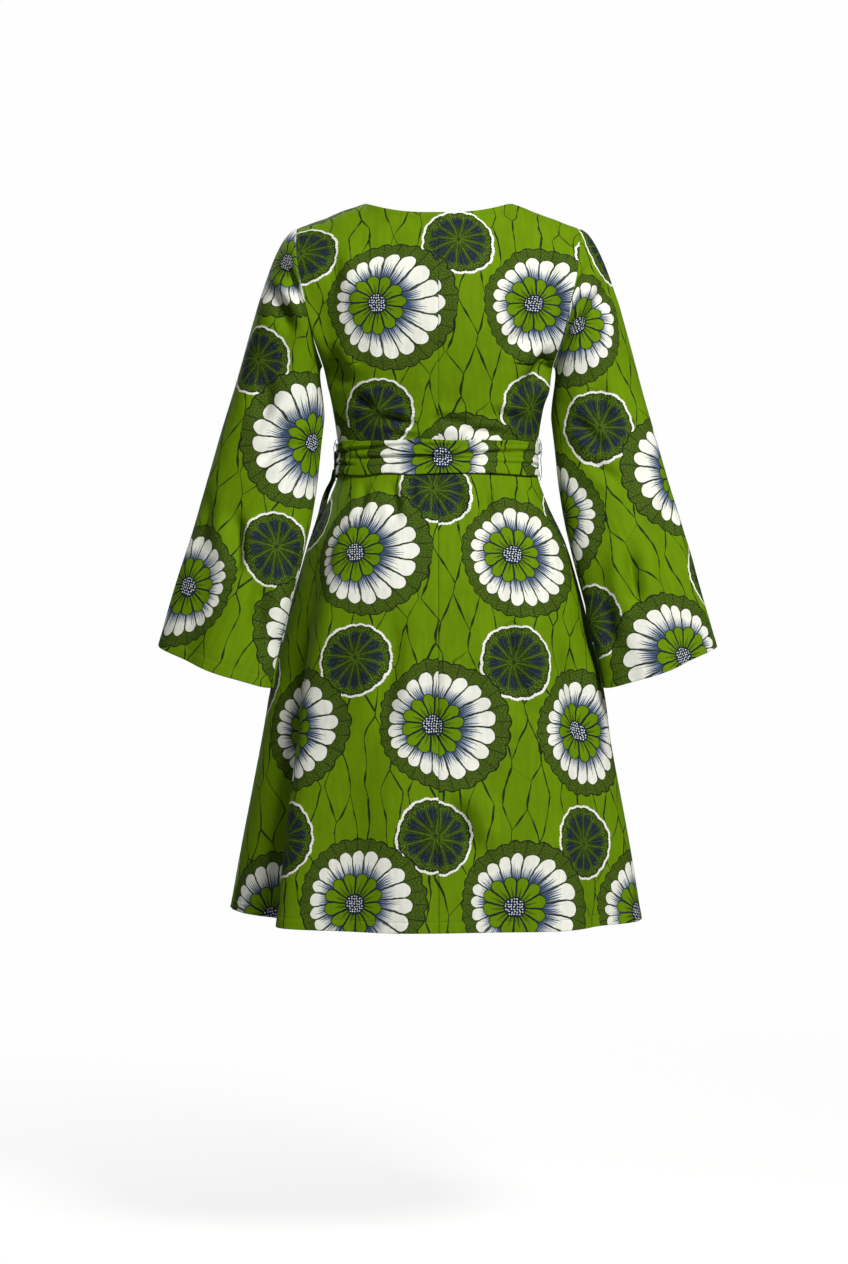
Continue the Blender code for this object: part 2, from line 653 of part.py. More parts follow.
def add_carrier(name, side):
    """A thread loop over the belt at one side seam."""
    turns = np.linspace(-1.0, 1.0, THREAD_STEPS + 1)
    stand = CARRIER_STAND * (1.0 - np.abs(turns) ** CARRIER_BEND)
    levels = WAIST_Z + turns * CARRIER_HALF
    foot = WALL + 3 * SEAM_GAP + THREAD / 2
    half = np.where(levels >= WAIST_Z, smooth_column(BODICE, 1, levels), smooth_column(SKIRT, 1, levels))
    path = np.stack([half + foot + stand, 0.0 * levels, levels], axis=-1)
    along = unit(np.gradient(path, axis=0))
    inward = np.cross(along, np.array([0.0, 1.0, 0.0]))
    vertices = []
    faces = []
    for k in range(THREAD_STEPS + 1):
        for n in range(THREAD_SIDES):
            a = 2 * math.pi * n / THREAD_SIDES
            rim = inward[k] * math.cos(a) + np.array([0.0, 1.0, 0.0]) * math.sin(a)
            vertices.append(path[k] + rim * THREAD / 2)
    last = THREAD_STEPS * THREAD_SIDES
    for ring in range(0, last, THREAD_SIDES):
        for n in range(THREAD_SIDES):
            m = (n + 1) % THREAD_SIDES
            faces.append((ring + n, ring + m, ring + THREAD_SIDES + m, ring + THREAD_SIDES + n))
    faces.append(tuple(reversed(range(THREAD_SIDES))))
    faces.append(tuple(range(last, last + THREAD_SIDES)))
    vertices = np.array(vertices) * np.array([side, 1.0, 1.0])
    if volume(vertices, faces) < 0.0:
        faces = [tuple(reversed(face)) for face in faces]
    add_piece(name, vertices, faces, THREAD_GREEN)


for old in list(bpy.data.objects):
    bpy.data.objects.remove(old)

add_bodice()
add_skirt()
add_sleeves()
add_belt()
add_knot()
for name, start_angle, end_angle, end_height, lay in TAILS:
    add_tail(name, start_angle, end_angle, end_height, lay)
add_carrier("belt_carrier_left", 1.0)
add_carrier("belt_carrier_right", -1.0)
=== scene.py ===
# %% [markdown]
# # A wrap dress in print cotton
# This lesson sews a knee-length wrap dress from flat grids of cloth. Every panel is one grid, carried onto
# the form that the finished dress hangs in, and its UV map is the cut on the table, in metres.
# The dress is held as it hangs when worn. Its front faces -Y, and its origin is between the neck points.

import math

import bpy
import numpy as np
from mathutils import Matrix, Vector


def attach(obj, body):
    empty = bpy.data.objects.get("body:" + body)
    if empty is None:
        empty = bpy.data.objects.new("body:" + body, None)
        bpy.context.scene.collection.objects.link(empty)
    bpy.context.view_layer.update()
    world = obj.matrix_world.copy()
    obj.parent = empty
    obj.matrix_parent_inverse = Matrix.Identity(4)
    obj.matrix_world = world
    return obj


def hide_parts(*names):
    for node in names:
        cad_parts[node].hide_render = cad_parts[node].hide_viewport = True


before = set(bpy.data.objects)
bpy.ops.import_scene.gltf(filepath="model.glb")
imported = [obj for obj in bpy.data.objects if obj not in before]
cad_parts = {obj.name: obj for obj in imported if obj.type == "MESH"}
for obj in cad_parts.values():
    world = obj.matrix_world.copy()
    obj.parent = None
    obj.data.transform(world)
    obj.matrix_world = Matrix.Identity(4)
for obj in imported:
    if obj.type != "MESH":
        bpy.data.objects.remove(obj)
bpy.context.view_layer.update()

# %% [markdown]
# ## Sizes of the cloth and of the dress
# A print cotton is about half a millimetre thick when it is sewn up. Sizes are in metres and angles in
# degrees, and the levels are heights below the neck points. Each table holds one form, in millimetres: a row
# is one level, and a smooth curve runs through each column.

# %% Sizes of the cloth
CLOTH = 0.00055
BELT_CLOTH = 0.0010
WALL = 0.0012
MIDDLE = WALL / 2
LIFT = 0.0028
LAY_GAP = 0.0007
TURN_RADIUS = 0.00042
HEM_TURN = 0.015
EDGE_TURN = 0.007
print("cloth", CLOTH, "m thick, on a form that is a wall of", WALL, "m")

# %% Sizes of the dress
WAIST_Z = -0.370
UNDERARM_Z = -0.235
TIP_Z = -0.036
HEM_Z = -1.035
BELT_HALF = 0.024
NECK_HALF = 0.107
TIP_HALF = 0.2035
NECK_DIP = -0.020
NECK_BEND = 2.5
SHOULDER_SLOPE = -TIP_Z / (TIP_HALF - NECK_HALF)
SHOULDER_ROUND = 0.20
ARM_REACH_BACK = 0.086
ARM_REACH_FRONT = 0.080
ARM_CURVE = 0.150
RING_POWER = 2.3
CHEST_POWER = 2.2
CHEST_BLEND = 0.090
SIDE_POWER = 8.0
SIDE_BLEND = 0.020
WRAP_ANGLE = 54.0
EDGE_BEND = 1.15
MM = 1000.0
print("shoulders fall", round(SHOULDER_SLOPE, 3), "m in a metre")

# %% Bodice: level, half width, depth behind, depth before
BODICE = np.array([
    (-370, 140.5, 83, 106),
    (-341, 144.5, 87, 112),
    (-310, 149, 92, 121),
    (-275.5, 155.5, 98, 131),
    (-235, 165, 103, 137),
    (-200, 177, 106, 136),
    (-150, 189, 107, 128),
    (-109, 198, 105, 118),
    (-75, 202.5, 101, 110),
    (-36, 203.5, 96, 104),
    (0, 203.5, 92, 100),
    (50, 203.5, 90, 98),
]) / MM

# %% Skirt: level, half width, depth behind, depth before
SKIRT = np.array([
    (-370, 140.5, 83, 106),
    (-393, 143.5, 89, 109),
    (-430, 156, 105, 115),
    (-490, 183, 128, 123),
    (-550, 201, 146, 131),
    (-620, 219, 158, 141),
    (-700, 237, 168, 152),
    (-776, 249, 177, 163),
    (-863, 264, 188, 176),
    (-928, 275, 196, 186),
    (-993, 285, 204, 195),
    (-1035, 291, 209, 201),
]) / MM

# %% Skirt flutes: angle from centre back, width in degrees, height at the hem, level where it starts
FLUTES = np.array([
    (46.0, 10.0, 0.010, -0.45),
    (65.0, 12.0, -0.060, -0.38),
    (96.0, 12.0, 0.010, -0.55),
    (24.0, 10.0, -0.009, -0.58),
    (8.0, 9.0, 0.006, -0.62),
    (-12.0, 10.0, -0.008, -0.55),
    (-32.0, 10.0, 0.009, -0.52),
    (-52.0, 10.0, -0.013, -0.50),
    (-72.0, 11.0, 0.007, -0.74),
    (-98.0, 11.0, -0.012, -0.55),
    (-122.0, 12.0, 0.011, -0.52),
    (-147.0, 11.0, -0.014, -0.50),
    (-172.0, 12.0, 0.011, -0.55),
    (162.0, 11.0, -0.012, -0.52),
    (140.0, 11.0, 0.010, -0.50),
    (120.0, 10.0, -0.010, -0.52),
])

# %% Sleeve rings: outer edge's level and reach, inner edge's level and reach, depth, turn, set back
SLEEVE = np.array([
    (-285, 300.3, -315, 164, 54, 6, 3),
    (-325, 312, -355, 168.5, 54, 8, 8),
    (-375, 325.5, -409, 174, 54, 12, 16),
    (-425, 339.5, -465, 183, 54, 18, 24),
    (-480, 354.5, -527, 197.5, 55, 24, 33),
    (-540, 371.5, -594, 215, 56, 30, 42),
    (-590, 385, -650, 227, 57, 34, 48),
    (-635, 396.5, -698, 237, 58, 38, 52),
]) / MM

# %% Sleeve flutes: angle round the sleeve from its outer edge, width in degrees, height at the cuff
SLEEVE_FLUTES = np.array([
    (40.0, 16.0, 0.004),
    (72.0, 15.0, -0.006),
    (105.0, 16.0, 0.005),
    (140.0, 15.0, -0.005),
    (215.0, 16.0, -0.005),
    (250.0, 17.0, 0.005),
    (290.0, 16.0, -0.006),
    (325.0, 16.0, 0.003),
])

# %% [markdown]
# ## The form of the dress
# A form could be sculpted, but a dress is symmetric and its sizes are known, so each surface is a function:
# an angle round the body and a level go in, and a point comes out. The same function then serves a coarse
# pattern or a fine one, and two panels that share a seam meet along it exactly.

# %% Curves
def smooth_column(table, column, at):
    """A smooth curve through one column of a table, against its first column."""
    order = np.argsort(table[:, 0])
    keys = table[order, 0]
    values = table[order, column]
    slopes = np.gradient(values, keys)
    at = np.clip(at, keys[0], keys[-1])
    k = np.clip(np.searchsorted(keys, at) - 1, 0, len(keys) - 2)
    width = keys[k + 1] - keys[k]
    t = (at - keys[k]) / width
    start = values[k] * (1 + 2 * t) * (1 - t) ** 2 + slopes[k] * width * t * (1 - t) ** 2
    end = values[k + 1] * t * t * (3 - 2 * t) - slopes[k + 1] * width * t * t * (1 - t)
    return start + end


def ease(t):
    t = np.clip(t, 0.0, 1.0)
    return t * t * (3.0 - 2.0 * t)


def unit(vectors):
    return vectors / np.maximum(np.linalg.norm(vectors, axis=-1, keepdims=True), 1e-12)


def turn_between(a, b):
    return (a - b + 180.0) % 360.0 - 180.0


def section_shares(angle):
    """How far a point at this angle reaches sideways and in depth, as shares of the section's size."""
    turn = np.radians(angle)
    across = np.sign(np.sin(turn)) * np.abs(np.sin(turn)) ** (2.0 / RING_POWER)
    deep = np.sign(np.cos(turn)) * np.abs(np.cos(turn)) ** (2.0 / RING_POWER)
    return across, deep


# %% Bodice form
def shoulder_level(x):
    return -SHOULDER_SLOPE * (np.abs(x) - NECK_HALF)


def torso(angle, z, front=False):
    """The bodice's inner face: angle from centre back round to centre front at 180, level z."""
    across, deep = section_shares(angle)
    half = smooth_column(BODICE, 1, z)
    behind = (np.cos(np.radians(angle)) >= 0.0) & (not front)
    full = np.where(behind, smooth_column(BODICE, 2, z), smooth_column(BODICE, 3, z))
    x = half * across
    rise = ease((z - UNDERARM_Z) / CHEST_BLEND)
    share = (1.0 - rise) * np.abs(deep) + rise * (1.0 - np.abs(across) ** CHEST_POWER)
    climb = np.clip((z - UNDERARM_Z) / ARM_CURVE, 0.0, 1.0)
    reach = np.where(behind, ARM_REACH_BACK, ARM_REACH_FRONT)
    round_edge = reach * np.sqrt(1.0 - (1.0 - climb) ** 2)
    soft_edge = reach * ease((z - UNDERARM_Z + SIDE_BLEND) / (ARM_CURVE + SIDE_BLEND))
    edge = soft_edge + (round_edge - soft_edge) * np.abs(across) ** SIDE_POWER
    depth = edge + (full - edge) * share
    drop = np.clip((shoulder_level(x) - z) / SHOULDER_ROUND, 0.0, 1.0)
    y = np.where(behind, 1.0, -1.0) * depth * np.sqrt(1.0 - (1.0 - drop) ** 2)
    return np.stack([x, y, z + 0.0 * x], axis=-1)


# %% Skirt form
FRONT_RISE = 0.0075
SIDE_RISE = 0.011
SIDE_RISE_AT = 98.0
SIDE_RISE_WIDTH = 25.0
FLUTE_BEND = 1.15
SHARE_STEP = 0.004
ANGLE_STEP = 0.5


def skirt(angle, share):
    """The skirt's inner face: angle from centre back, share of the way from waist to hem."""
    angle = np.asarray(angle, dtype=float) + 0.0 * share
    level = WAIST_Z + share * (HEM_Z - WAIST_Z)
    side_lift = SIDE_RISE * np.exp(-((turn_between(angle, SIDE_RISE_AT)) / SIDE_RISE_WIDTH) ** 2)
    hem = HEM_Z + FRONT_RISE * (1.0 - np.cos(np.radians(angle))) + side_lift
    z = WAIST_Z + share * (hem - WAIST_Z)
    across, deep = section_shares(angle)
    half = smooth_column(SKIRT, 1, level)
    full = np.where(deep >= 0.0, smooth_column(SKIRT, 2, level), smooth_column(SKIRT, 3, level))
    out = 0.0 * level
    for centre, width, height, start in FLUTES:
        grow = np.clip((start - level) / (start - HEM_Z), 0.0, 1.0)
        out = out + height * grow ** FLUTE_BEND * np.exp(-((turn_between(angle, centre)) / width) ** 2)
    x = half * across + out * np.sin(np.radians(angle))
    y = full * deep + out * np.cos(np.radians(angle))
    return np.stack([x, y, z], axis=-1)


def skirt_normals(angle, share):
    """Outward directions of the skirt, the same on both sides of every seam."""
    low = np.clip(share - SHARE_STEP, 0.0, 1.0)
    high = np.clip(share + SHARE_STEP, 0.0, 1.0)
    round_way = skirt(angle + ANGLE_STEP, share) - skirt(angle - ANGLE_STEP, share)
    out = np.cross(skirt(angle, high) - skirt(angle, low), round_way)
    facing = np.stack([np.sin(np.radians(angle)), np.cos(np.radians(angle)), 0.0 * angle], axis=-1)
    return unit(out * np.sign((out * facing).sum(-1, keepdims=True)))


print("hem at centre front and back", skirt(np.array([180.0, 0.0]), 1.0)[:, 2].round(4), "m")


# %% Where the two fronts cross
LIFT_LEAD = 26.0
LIFT_RUN = 20.0


def wrap_edge_angle(z):
    """Angle that the crossing edge of a front reaches at level z, 180 being centre front."""
    full_reach = NECK_HALF + smooth_column(BODICE, 1, WAIST_Z) * section_shares(WRAP_ANGLE)[0]
    x = NECK_HALF - full_reach * np.clip(z / WAIST_Z, 0.0, 1.0) ** EDGE_BEND
    share = np.clip(np.abs(x) / smooth_column(BODICE, 1, z), 0.0, 1.0)
    turn = np.degrees(np.arcsin(share ** (RING_POWER / 2.0)))
    return 180.0 - np.sign(x) * turn


def wrap_lift(angle, edge_angle):
    """How far the upper front stands off so that it clears the front under it."""
    under_edge = 360.0 - edge_angle
    return LIFT * ease((angle - (under_edge - LIFT_LEAD)) / LIFT_RUN)


# %% Directions square to a grid of points
def grid_normals(points, outward):
    along = np.gradient(points, axis=0)
    across = np.gradient(points, axis=1)
    normals = unit(np.cross(along, across))
    return normals * np.sign((normals * outward).sum(-1, keepdims=True) + 1e-12)


# %% [markdown]
# ## Creases
# Cloth that is worn is never smooth. A simulation makes folds of its own, and they are seldom those of the
# dress that is copied, so the main creases are placed one by one. A row of a table is one crease, in
# millimetres: the side it is on (1 behind, -1 before), x and z of its two ends, its half width, its height
# (below 0 for a trough) and its bow. Each has a softer fold of the other sign on both sides, as cloth that is
# pushed in somewhere comes out nearby.

# %% Creases of the bodice
BODICE_CREASES = (
    (1, 103, -314, 22, -331, 6, -2.2, 4),
    (1, 85, -331, 12, -343, 4.5, -1.3, -3),
    (1, 18, -318, -60, -329, 6, -1.5, 4),
    (1, -30, -336, -104, -338, 5, -1.6, 3),
    (1, -68, -300, -136, -318, 7, -1.8, -4),
    (1, 128, -283, 86, -306, 7, -1.8, 3),
    (1, -162, -205, -116, -284, 11, -4.2, 6),
    (1, -150, -186, -90, -226, 12, -2.4, -6),
    (1, 160, -205, 121, -272, 11, -3.4, -6),
    (1, 150, -60, 158, -158, 12, -2.2, 6),
    (1, -158, -62, -165, -165, 13, -2.6, -6),
    (1, 40, -60, 112, -92, 15, -1.2, 6),
    (1, -36, -52, -118, -98, 15, -1.3, -6),
    (-1, 120, -330, 46, -286, 6.5, -2.2, 6),
    (-1, 118, -345, 22, -322, 5.5, -1.9, 5),
    (-1, 112, -352, 10, -346, 5, -1.4, 3),
    (-1, -64, -262, -118, -322, 8, -2.2, -6),
    (-1, -160, -210, -104, -262, 11, -3.4, 6),
    (-1, 162, -208, 110, -256, 11, -3.4, -6),
    (-1, 148, -60, 156, -150, 12, -2.2, 6),
    (-1, -150, -64, -158, -156, 12, -2.2, -6),
)

# %% Creases of the skirt
SKIRT_CREASES = (
    (1, 70, -398, 58, -470, 7, -2.2, 3),
    (1, 36, -398, 34, -446, 6, -1.5, -2),
    (1, -24, -398, -30, -460, 7, -1.6, 3),
    (1, -66, -398, -80, -486, 8, -2.2, -3),
    (1, -104, -398, -124, -470, 7, -1.9, 3),
    (1, 104, -398, 116, -462, 7, -1.7, 3),
    (1, -14, -840, -46, -946, 15, -4.8, 6),
    (1, 66, -560, 88, -790, 16, -3, 10),
    (1, -92, -560, -128, -760, 16, -3.2, -8),
    (1, 20, -640, 16, -800, 15, -1.8, 6),
    (1, -176, -620, -204, -800, 14, -3.2, 6),
    (-1, 100, -400, 52, -500, 8, -2.6, 6),
    (-1, 94, -404, 10, -462, 7.5, -2.2, 6),
    (-1, 124, -402, 150, -500, 8, -2.4, 4),
    (-1, -60, -398, -84, -480, 8, -2, 3),
    (-1, -104, -398, -130, -470, 7, -1.8, 3),
    (-1, 10, -560, -4, -800, 18, -3.4, 10),
    (-1, -116, -560, -150, -800, 16, -3.4, 8),
    (-1, 96, -620, 120, -860, 17, -3.6, -8),
    (-1, -50, -700, -58, -900, 16, -2.8, 6),
)

# %% Creases of the left sleeve and of the right one
SLEEVE_CREASES_LEFT = (
    (1, 226, -90, 176, -178, 9, -4.2, 4),
    (1, 247, -116, 208, -206, 10, -2.6, 5),
    (1, 290, -438, 287, -548, 10.5, -4.8, 3),
    (1, 196, -300, 238, -352, 8.5, -2.8, -4),
    (1, 202, -345, 262, -384, 9, -2.6, -4),
    (1, 248, -240, 258, -330, 13, -2.6, 6),
    (1, 330, -400, 352, -520, 13, -2.6, 4),
    (1, 250, -520, 262, -640, 12, -3.4, 3),
    (-1, 226, -92, 180, -176, 9.5, -3.8, 4),
    (-1, 200, -300, 252, -344, 9, -3, -4),
    (-1, 210, -352, 280, -386, 9, -2.8, -4),
    (-1, 276, -420, 282, -560, 12, -4.4, 3),
    (-1, 330, -440, 350, -580, 13, -3, 4),
)
SLEEVE_CREASES_RIGHT = (
    (1, 222, -84, 182, -160, 9, -3.4, 4),
    (1, 250, -110, 204, -226, 11, -3.4, 6),
    (1, 276, -478, 284, -596, 11, -5.2, 3),
    (1, 190, -310, 240, -366, 9, -3, -5),
    (1, 204, -372, 268, -414, 9, -2.2, -4),
    (1, 238, -250, 246, -350, 13, -3, 6),
    (1, 322, -380, 346, -520, 13, -2.4, 4),
    (1, 240, -560, 250, -660, 11, -3, 3),
    (-1, 224, -88, 184, -168, 9.5, -3.6, 4),
    (-1, 196, -308, 250, -358, 9, -3.2, -4),
    (-1, 216, -366, 284, -396, 9, -2.6, -4),
    (-1, 272, -440, 276, -580, 12, -4, 3),
    (-1, 326, -420, 346, -560, 13, -3, 4),
)


# %% How far a crease moves the cloth
CREASE_DEPTH = 3.0
CREASE_FADE = 0.40
FACE_SHARPNESS = 4.0
CREASE_BANKS = (
    # share of the crease's height, way from its middle and width in half widths of the crease
    (0.50, 2.1, 1.2),
    (0.30, -2.2, 1.3),
)


def crease_height(points, outward, table):
    """The height of all creases of a table at each point, taken along the cloth's outward direction."""
    total = np.zeros(points.shape[:-1])
    for side, *sizes in table:
        x0, z0, x1, z1, half, height, bow = np.array(sizes) / MM
        run = np.array([x1 - x0, z1 - z0])
        length = np.hypot(*run)
        at = points[..., [0, 2]] - np.array([x0, z0])
        t = (at @ run) / length ** 2
        off = (at[..., 0] * run[1] - at[..., 1] * run[0]) / length - bow * 4 * t * (1 - t)
        fade = ease(np.minimum(t, 1 - t) / CREASE_FADE)
        shape = np.exp(-(off / half) ** 2)
        for share, away, wide in CREASE_BANKS:
            shape -= share * np.exp(-((off - away * half) / (wide * half)) ** 2)
        seen = np.clip(side * outward[..., 1] * FACE_SHARPNESS, 0.0, 1.0)
        total += CREASE_DEPTH * height * fade * shape * seen
    return total


print(len(BODICE_CREASES), "creases in the bodice and", len(SKIRT_CREASES), "in the skirt")

# %% [markdown]
# Between the creases the cloth still rolls a little. A sum of a few long waves, each with its own size and
# start, does that. The waves close on themselves round the body, so they also run on across every seam.

# %% Soft waves of the cloth
WAVE_COUNT = 9
WAVE_SHARE = 4.0


def soft_waves(turn, z, seed, lowest, highest, tall):
    """Waves from -1 to about 1: whole numbers of them round the body, leaning as they go down."""
    dice = np.random.default_rng(seed)
    total = np.zeros(np.broadcast(turn, z).shape)
    for _ in range(WAVE_COUNT):
        count = dice.integers(lowest, highest)
        lean = dice.uniform(-tall, tall)
        start = dice.uniform(0, 2 * np.pi)
        total = total + np.sin(count * np.radians(turn) + lean * z + start)
    return total / WAVE_SHARE


def ripple(along, away, height, waves, wander, drift, reach, start=0.0):
    """Uneven small waves along a seam or a hem, which fade with the distance away from it."""
    return height * np.sin(along * waves + wander * np.sin(along * drift) + start) * np.exp(-away / reach)


CENTRE_RIPPLE = dict(height=0.00030, waves=420.0, wander=0.0, drift=1.0, reach=0.006)
SEAM_RIPPLE = dict(height=0.00035, waves=330.0, wander=1.7, drift=57.0, reach=0.007)
HEM_RIPPLE = dict(height=0.00045, waves=260.0, wander=2.0, drift=41.0, reach=0.012)
CUFF_RIPPLE = dict(height=0.0004, waves=17.0, wander=2.0, drift=3.4, reach=0.012)
print("a hem ripples every", round(2 * math.pi / HEM_RIPPLE["waves"], 3), "m")


# %% [markdown]
# ## From a flat grid to a hanging panel
# A grid primitive is the cloth on the table. Its points are carried onto the form, its UV map gets the
# place of each point on the flat cut in metres, and Solidify gives it the thickness of real cotton.
# A tube is merged where its two long edges meet. Edges that are hemmed turn under with a small round fold.

# %% Flat cut of a panel
def unroll(points, start):
    """Lays a hanging grid flat, column by column from one that stays straight, with true widths and angles."""
    columns = points.shape[0]
    tangents = unit(np.gradient(points, axis=1))
    flat = np.zeros(points.shape[:2] + (2,))
    flat[start, 1:, 1] = -np.cumsum(np.linalg.norm(np.diff(points[start], axis=0), axis=-1))
    for way in (1, -1):
        k = start
        while 0 <= k + way < columns:
            step = points[k + way] - points[k]
            ahead = (step * tangents[k]).sum(-1)
            beside = np.sqrt(np.maximum((step ** 2).sum(-1) - ahead ** 2, 0.0))
            down = unit(np.gradient(flat[k], axis=0))
            padded = np.concatenate([down[:1], down, down[-1:]])
            down = unit(padded[:-2] + 2 * padded[1:-1] + padded[2:])
            right = np.stack([-down[:, 1], down[:, 0]], axis=-1)
            flat[k + way] = flat[k] + ahead[:, None] * down + way * beside[:, None] * right
            k += way
    return flat


# %% Turned edges
FOLD_TURNS = (45.0, 90.0, 135.0)
FOLD_FLAT = 0.02


def turn_under(points, normals, flat, width):
    """Adds rows past the last one of each column: a round fold, and the cloth that lies inside it."""
    down = unit(points[:, -1] - points[:, -2])
    out = normals[:, -1]
    radius = TURN_RADIUS
    new_points, new_flat = [], []
    for turn in FOLD_TURNS:
        a = math.radians(turn)
        new_points.append(points[:, -1] + down * radius * math.sin(a) - out * radius * (1 - math.cos(a)))
        new_flat.append(flat[:, -1] + (flat[:, -1] - flat[:, -2]) * FOLD_FLAT * turn / FOLD_TURNS[0])
    lengths = np.linalg.norm(points[:, -1:] - points, axis=-1)
    inside = [k for k in range(points.shape[1] - 1, -1, -1) if lengths[:, k].mean() <= width * 1.02]
    for k in inside:
        new_points.append(points[:, k] - normals[:, k] * 2 * radius)
        new_flat.append(2 * flat[:, -1] - flat[:, k])
    every = [points, np.stack(new_points, axis=1)]
    return np.concatenate(every, axis=1), np.concatenate([flat, np.stack(new_flat, axis=1)], axis=1)


# %% Laying a panel on its form
def deselect():
    if bpy.context.mode != "OBJECT":
        bpy.ops.object.mode_set(mode="OBJECT")
    bpy.ops.object.select_all(action="DESELECT")


def edit_all():
    bpy.ops.object.mode_set(mode="EDIT")
    bpy.ops.mesh.select_all(action="SELECT")


def lay_cloth(name, points, flat, outward, thick=CLOTH, tube=False, merge=0.00002):
    """Makes a grid, carries it onto the form, and gives it the cut as its UV map and its thickness."""
    columns, rows = points.shape[:2]
    deselect()
    bpy.ops.mesh.primitive_grid_add(x_subdivisions=columns - 1, y_subdivisions=rows - 1, size=1)
    piece = bpy.context.object
    piece.name = name
    mesh = piece.data
    mesh.name = name
    mesh.vertices.foreach_set("co", points.transpose(1, 0, 2).ravel())
    corner = np.zeros(len(mesh.loops), dtype=int)
    mesh.loops.foreach_get("vertex_index", corner)
    mesh.uv_layers[0].name = "cut"
    mesh.uv_layers[0].data.foreach_set("uv", flat.transpose(1, 0, 2).reshape(-1, 2)[corner].ravel())
    mesh.update()
    face = mesh.polygons[(rows // 2) * (columns - 1) + columns // 2]
    way = outward[columns // 2, min(rows // 2, outward.shape[1] - 1)]
    edit_all()
    if face.normal.dot(Vector(way)) < 0:
        bpy.ops.mesh.flip_normals()
    if tube:
        bpy.ops.mesh.remove_doubles(threshold=merge)
    bpy.ops.object.mode_set(mode="OBJECT")
    bpy.ops.object.shade_smooth()
    shell = piece.modifiers.new("thickness", "SOLIDIFY")
    shell.thickness = thick
    shell.offset = 0.0
    bpy.ops.object.modifier_apply(modifier="thickness")
    print(name, "has", len(piece.data.polygons), "faces")
    return piece


# %% A row of stitches
def at_places(places, runs, values):
    """Values of a path, read at some places along it."""
    return np.stack([np.interp(places, runs, values[:, c]) for c in range(3)], axis=-1)


def stitch_row(name, path, outward, pitch=0.0042, length=0.0027, thread=0.00042, round_off=0.22):
    """Copies one small stitch along a path of points, each lying along the path on the cloth."""
    deselect()
    bpy.ops.mesh.primitive_cylinder_add(vertices=6, radius=thread / 2, depth=length)
    stitch = bpy.context.object
    edit_all()
    bpy.ops.mesh.bevel(offset=thread * round_off, segments=1, affect="EDGES")
    bpy.ops.object.mode_set(mode="OBJECT")
    shape = np.array([v.co[:] for v in stitch.data.vertices])
    faces = [tuple(p.vertices) for p in stitch.data.polygons]
    bpy.data.objects.remove(stitch)
    runs = np.concatenate([[0.0], np.cumsum(np.linalg.norm(np.diff(path, axis=0), axis=-1))])
    places = np.arange(pitch, runs[-1] - pitch / 2, pitch)
    centre = at_places(places, runs, path)
    ahead = at_places(places + pitch / 4, runs, path)
    out = unit(at_places(places, runs, outward))
    along = unit(ahead - centre)
    frames = np.stack([unit(np.cross(out, along)), out, along], axis=1)
    points, polygons = [], []
    for k in range(len(places)):
        points.append(centre[k] + shape @ frames[k])
        polygons.extend(tuple(v + k * len(shape) for v in face) for face in faces)
    mesh = bpy.data.meshes.new(name)
    mesh.from_pydata(np.concatenate(points).tolist(), [], polygons)
    mesh.validate()
    row = bpy.data.objects.new(name, mesh)
    bpy.context.scene.collection.objects.link(row)
    print(name, "has", len(places), "stitches")
    return row


# %% [markdown]
# ## Steps of the grids
# Cloth between the seams needs a point about every four millimetres. Close to a seam or a stitched hem the
# points stand closer, because the cloth dips there within a millimetre or two.

# %% Steps across and down
HEM_ZONE = 0.020
HEM_ROWS = (0.0168, 0.0158, 0.0150, 0.0142, 0.0132, 0.0100, 0.0060, 0.0025, 0.0)


def seam_shares(count, first=True, last=True, close=0.004, extra=()):
    """Shares from 0 to 1 with closer ones at the seams, and others placed by their share from the end."""
    shares = list(np.linspace(0.0, 1.0, count + 1))
    near = [close, 2.2 * close]
    if first:
        shares += near
    if last:
        shares += [1.0 - s for s in near]
    return np.array(sorted(shares + [1.0 - s for s in extra]))


def hem_shares(count, length):
    """Shares from top to hem, with extra ones at the hem's stitching."""
    shares = list(np.linspace(0.0, 1.0 - HEM_ZONE / length, count + 1))
    return np.array(shares + [1.0 - above / length for above in HEM_ROWS])


def stitch_dip(above, line=HEM_TURN, depth=0.00035, half=0.0009, swell=0.00025, run=0.003):
    """The stitching pulls the cloth in along its line, and the doubled cloth below it stands out."""
    pulled = -depth * np.exp(-((above - line) / half) ** 2)
    return pulled + swell * ease((line - above) / run)


def seam_dip(distance, depth=0.00055, half=0.0022):
    return -depth * np.exp(-(distance / half) ** 2)


print("a hem has", len(HEM_ROWS), "close rows in its last", HEM_ZONE, "m")

# %% [markdown]
# ## Back bodice
# Two halves meet in a seam at centre back. They are narrow at the waist, round over the shoulder blades and
# drawn in to the armholes. The left half is made from the form, and the right half is its mirror image,
# but with its own creases, its own place on the printed cloth and its own small faults along the seam.

# %% Levels of the bodice's rows
LOW_ROWS = 32
ARM_ROWS = 52
print("a bodice column has", LOW_ROWS + ARM_ROWS + 1, "points")


def panel_levels(top_levels):
    low = WAIST_Z + (UNDERARM_Z - WAIST_Z) * np.arange(LOW_ROWS) / LOW_ROWS
    low = np.repeat(low[None, :], len(top_levels), axis=0)
    arm = (1.0 - np.cos(np.pi * np.arange(ARM_ROWS + 1) / ARM_ROWS)) / 2.0
    high = UNDERARM_Z + (top_levels[:, None] - UNDERARM_Z) * arm[None, :]
    return np.concatenate([low, high], axis=1)


def edge_distance(points, column):
    """Distance along each row from one edge column."""
    steps = np.linalg.norm(np.diff(points, axis=0), axis=-1)
    arc = np.concatenate([np.zeros((1, points.shape[1])), np.cumsum(steps, axis=0)])
    return arc if column == 0 else arc[-1:] - arc


def end_distance(points):
    """Distance along each column from its last row."""
    falls = np.linalg.norm(np.diff(points, axis=1), axis=-1)
    down = np.concatenate([np.zeros((points.shape[0], 1)), np.cumsum(falls, axis=1)], axis=1)
    return down[:, -1:] - down


def mirror(points, side):
    return points * np.array([side, 1.0, 1.0])


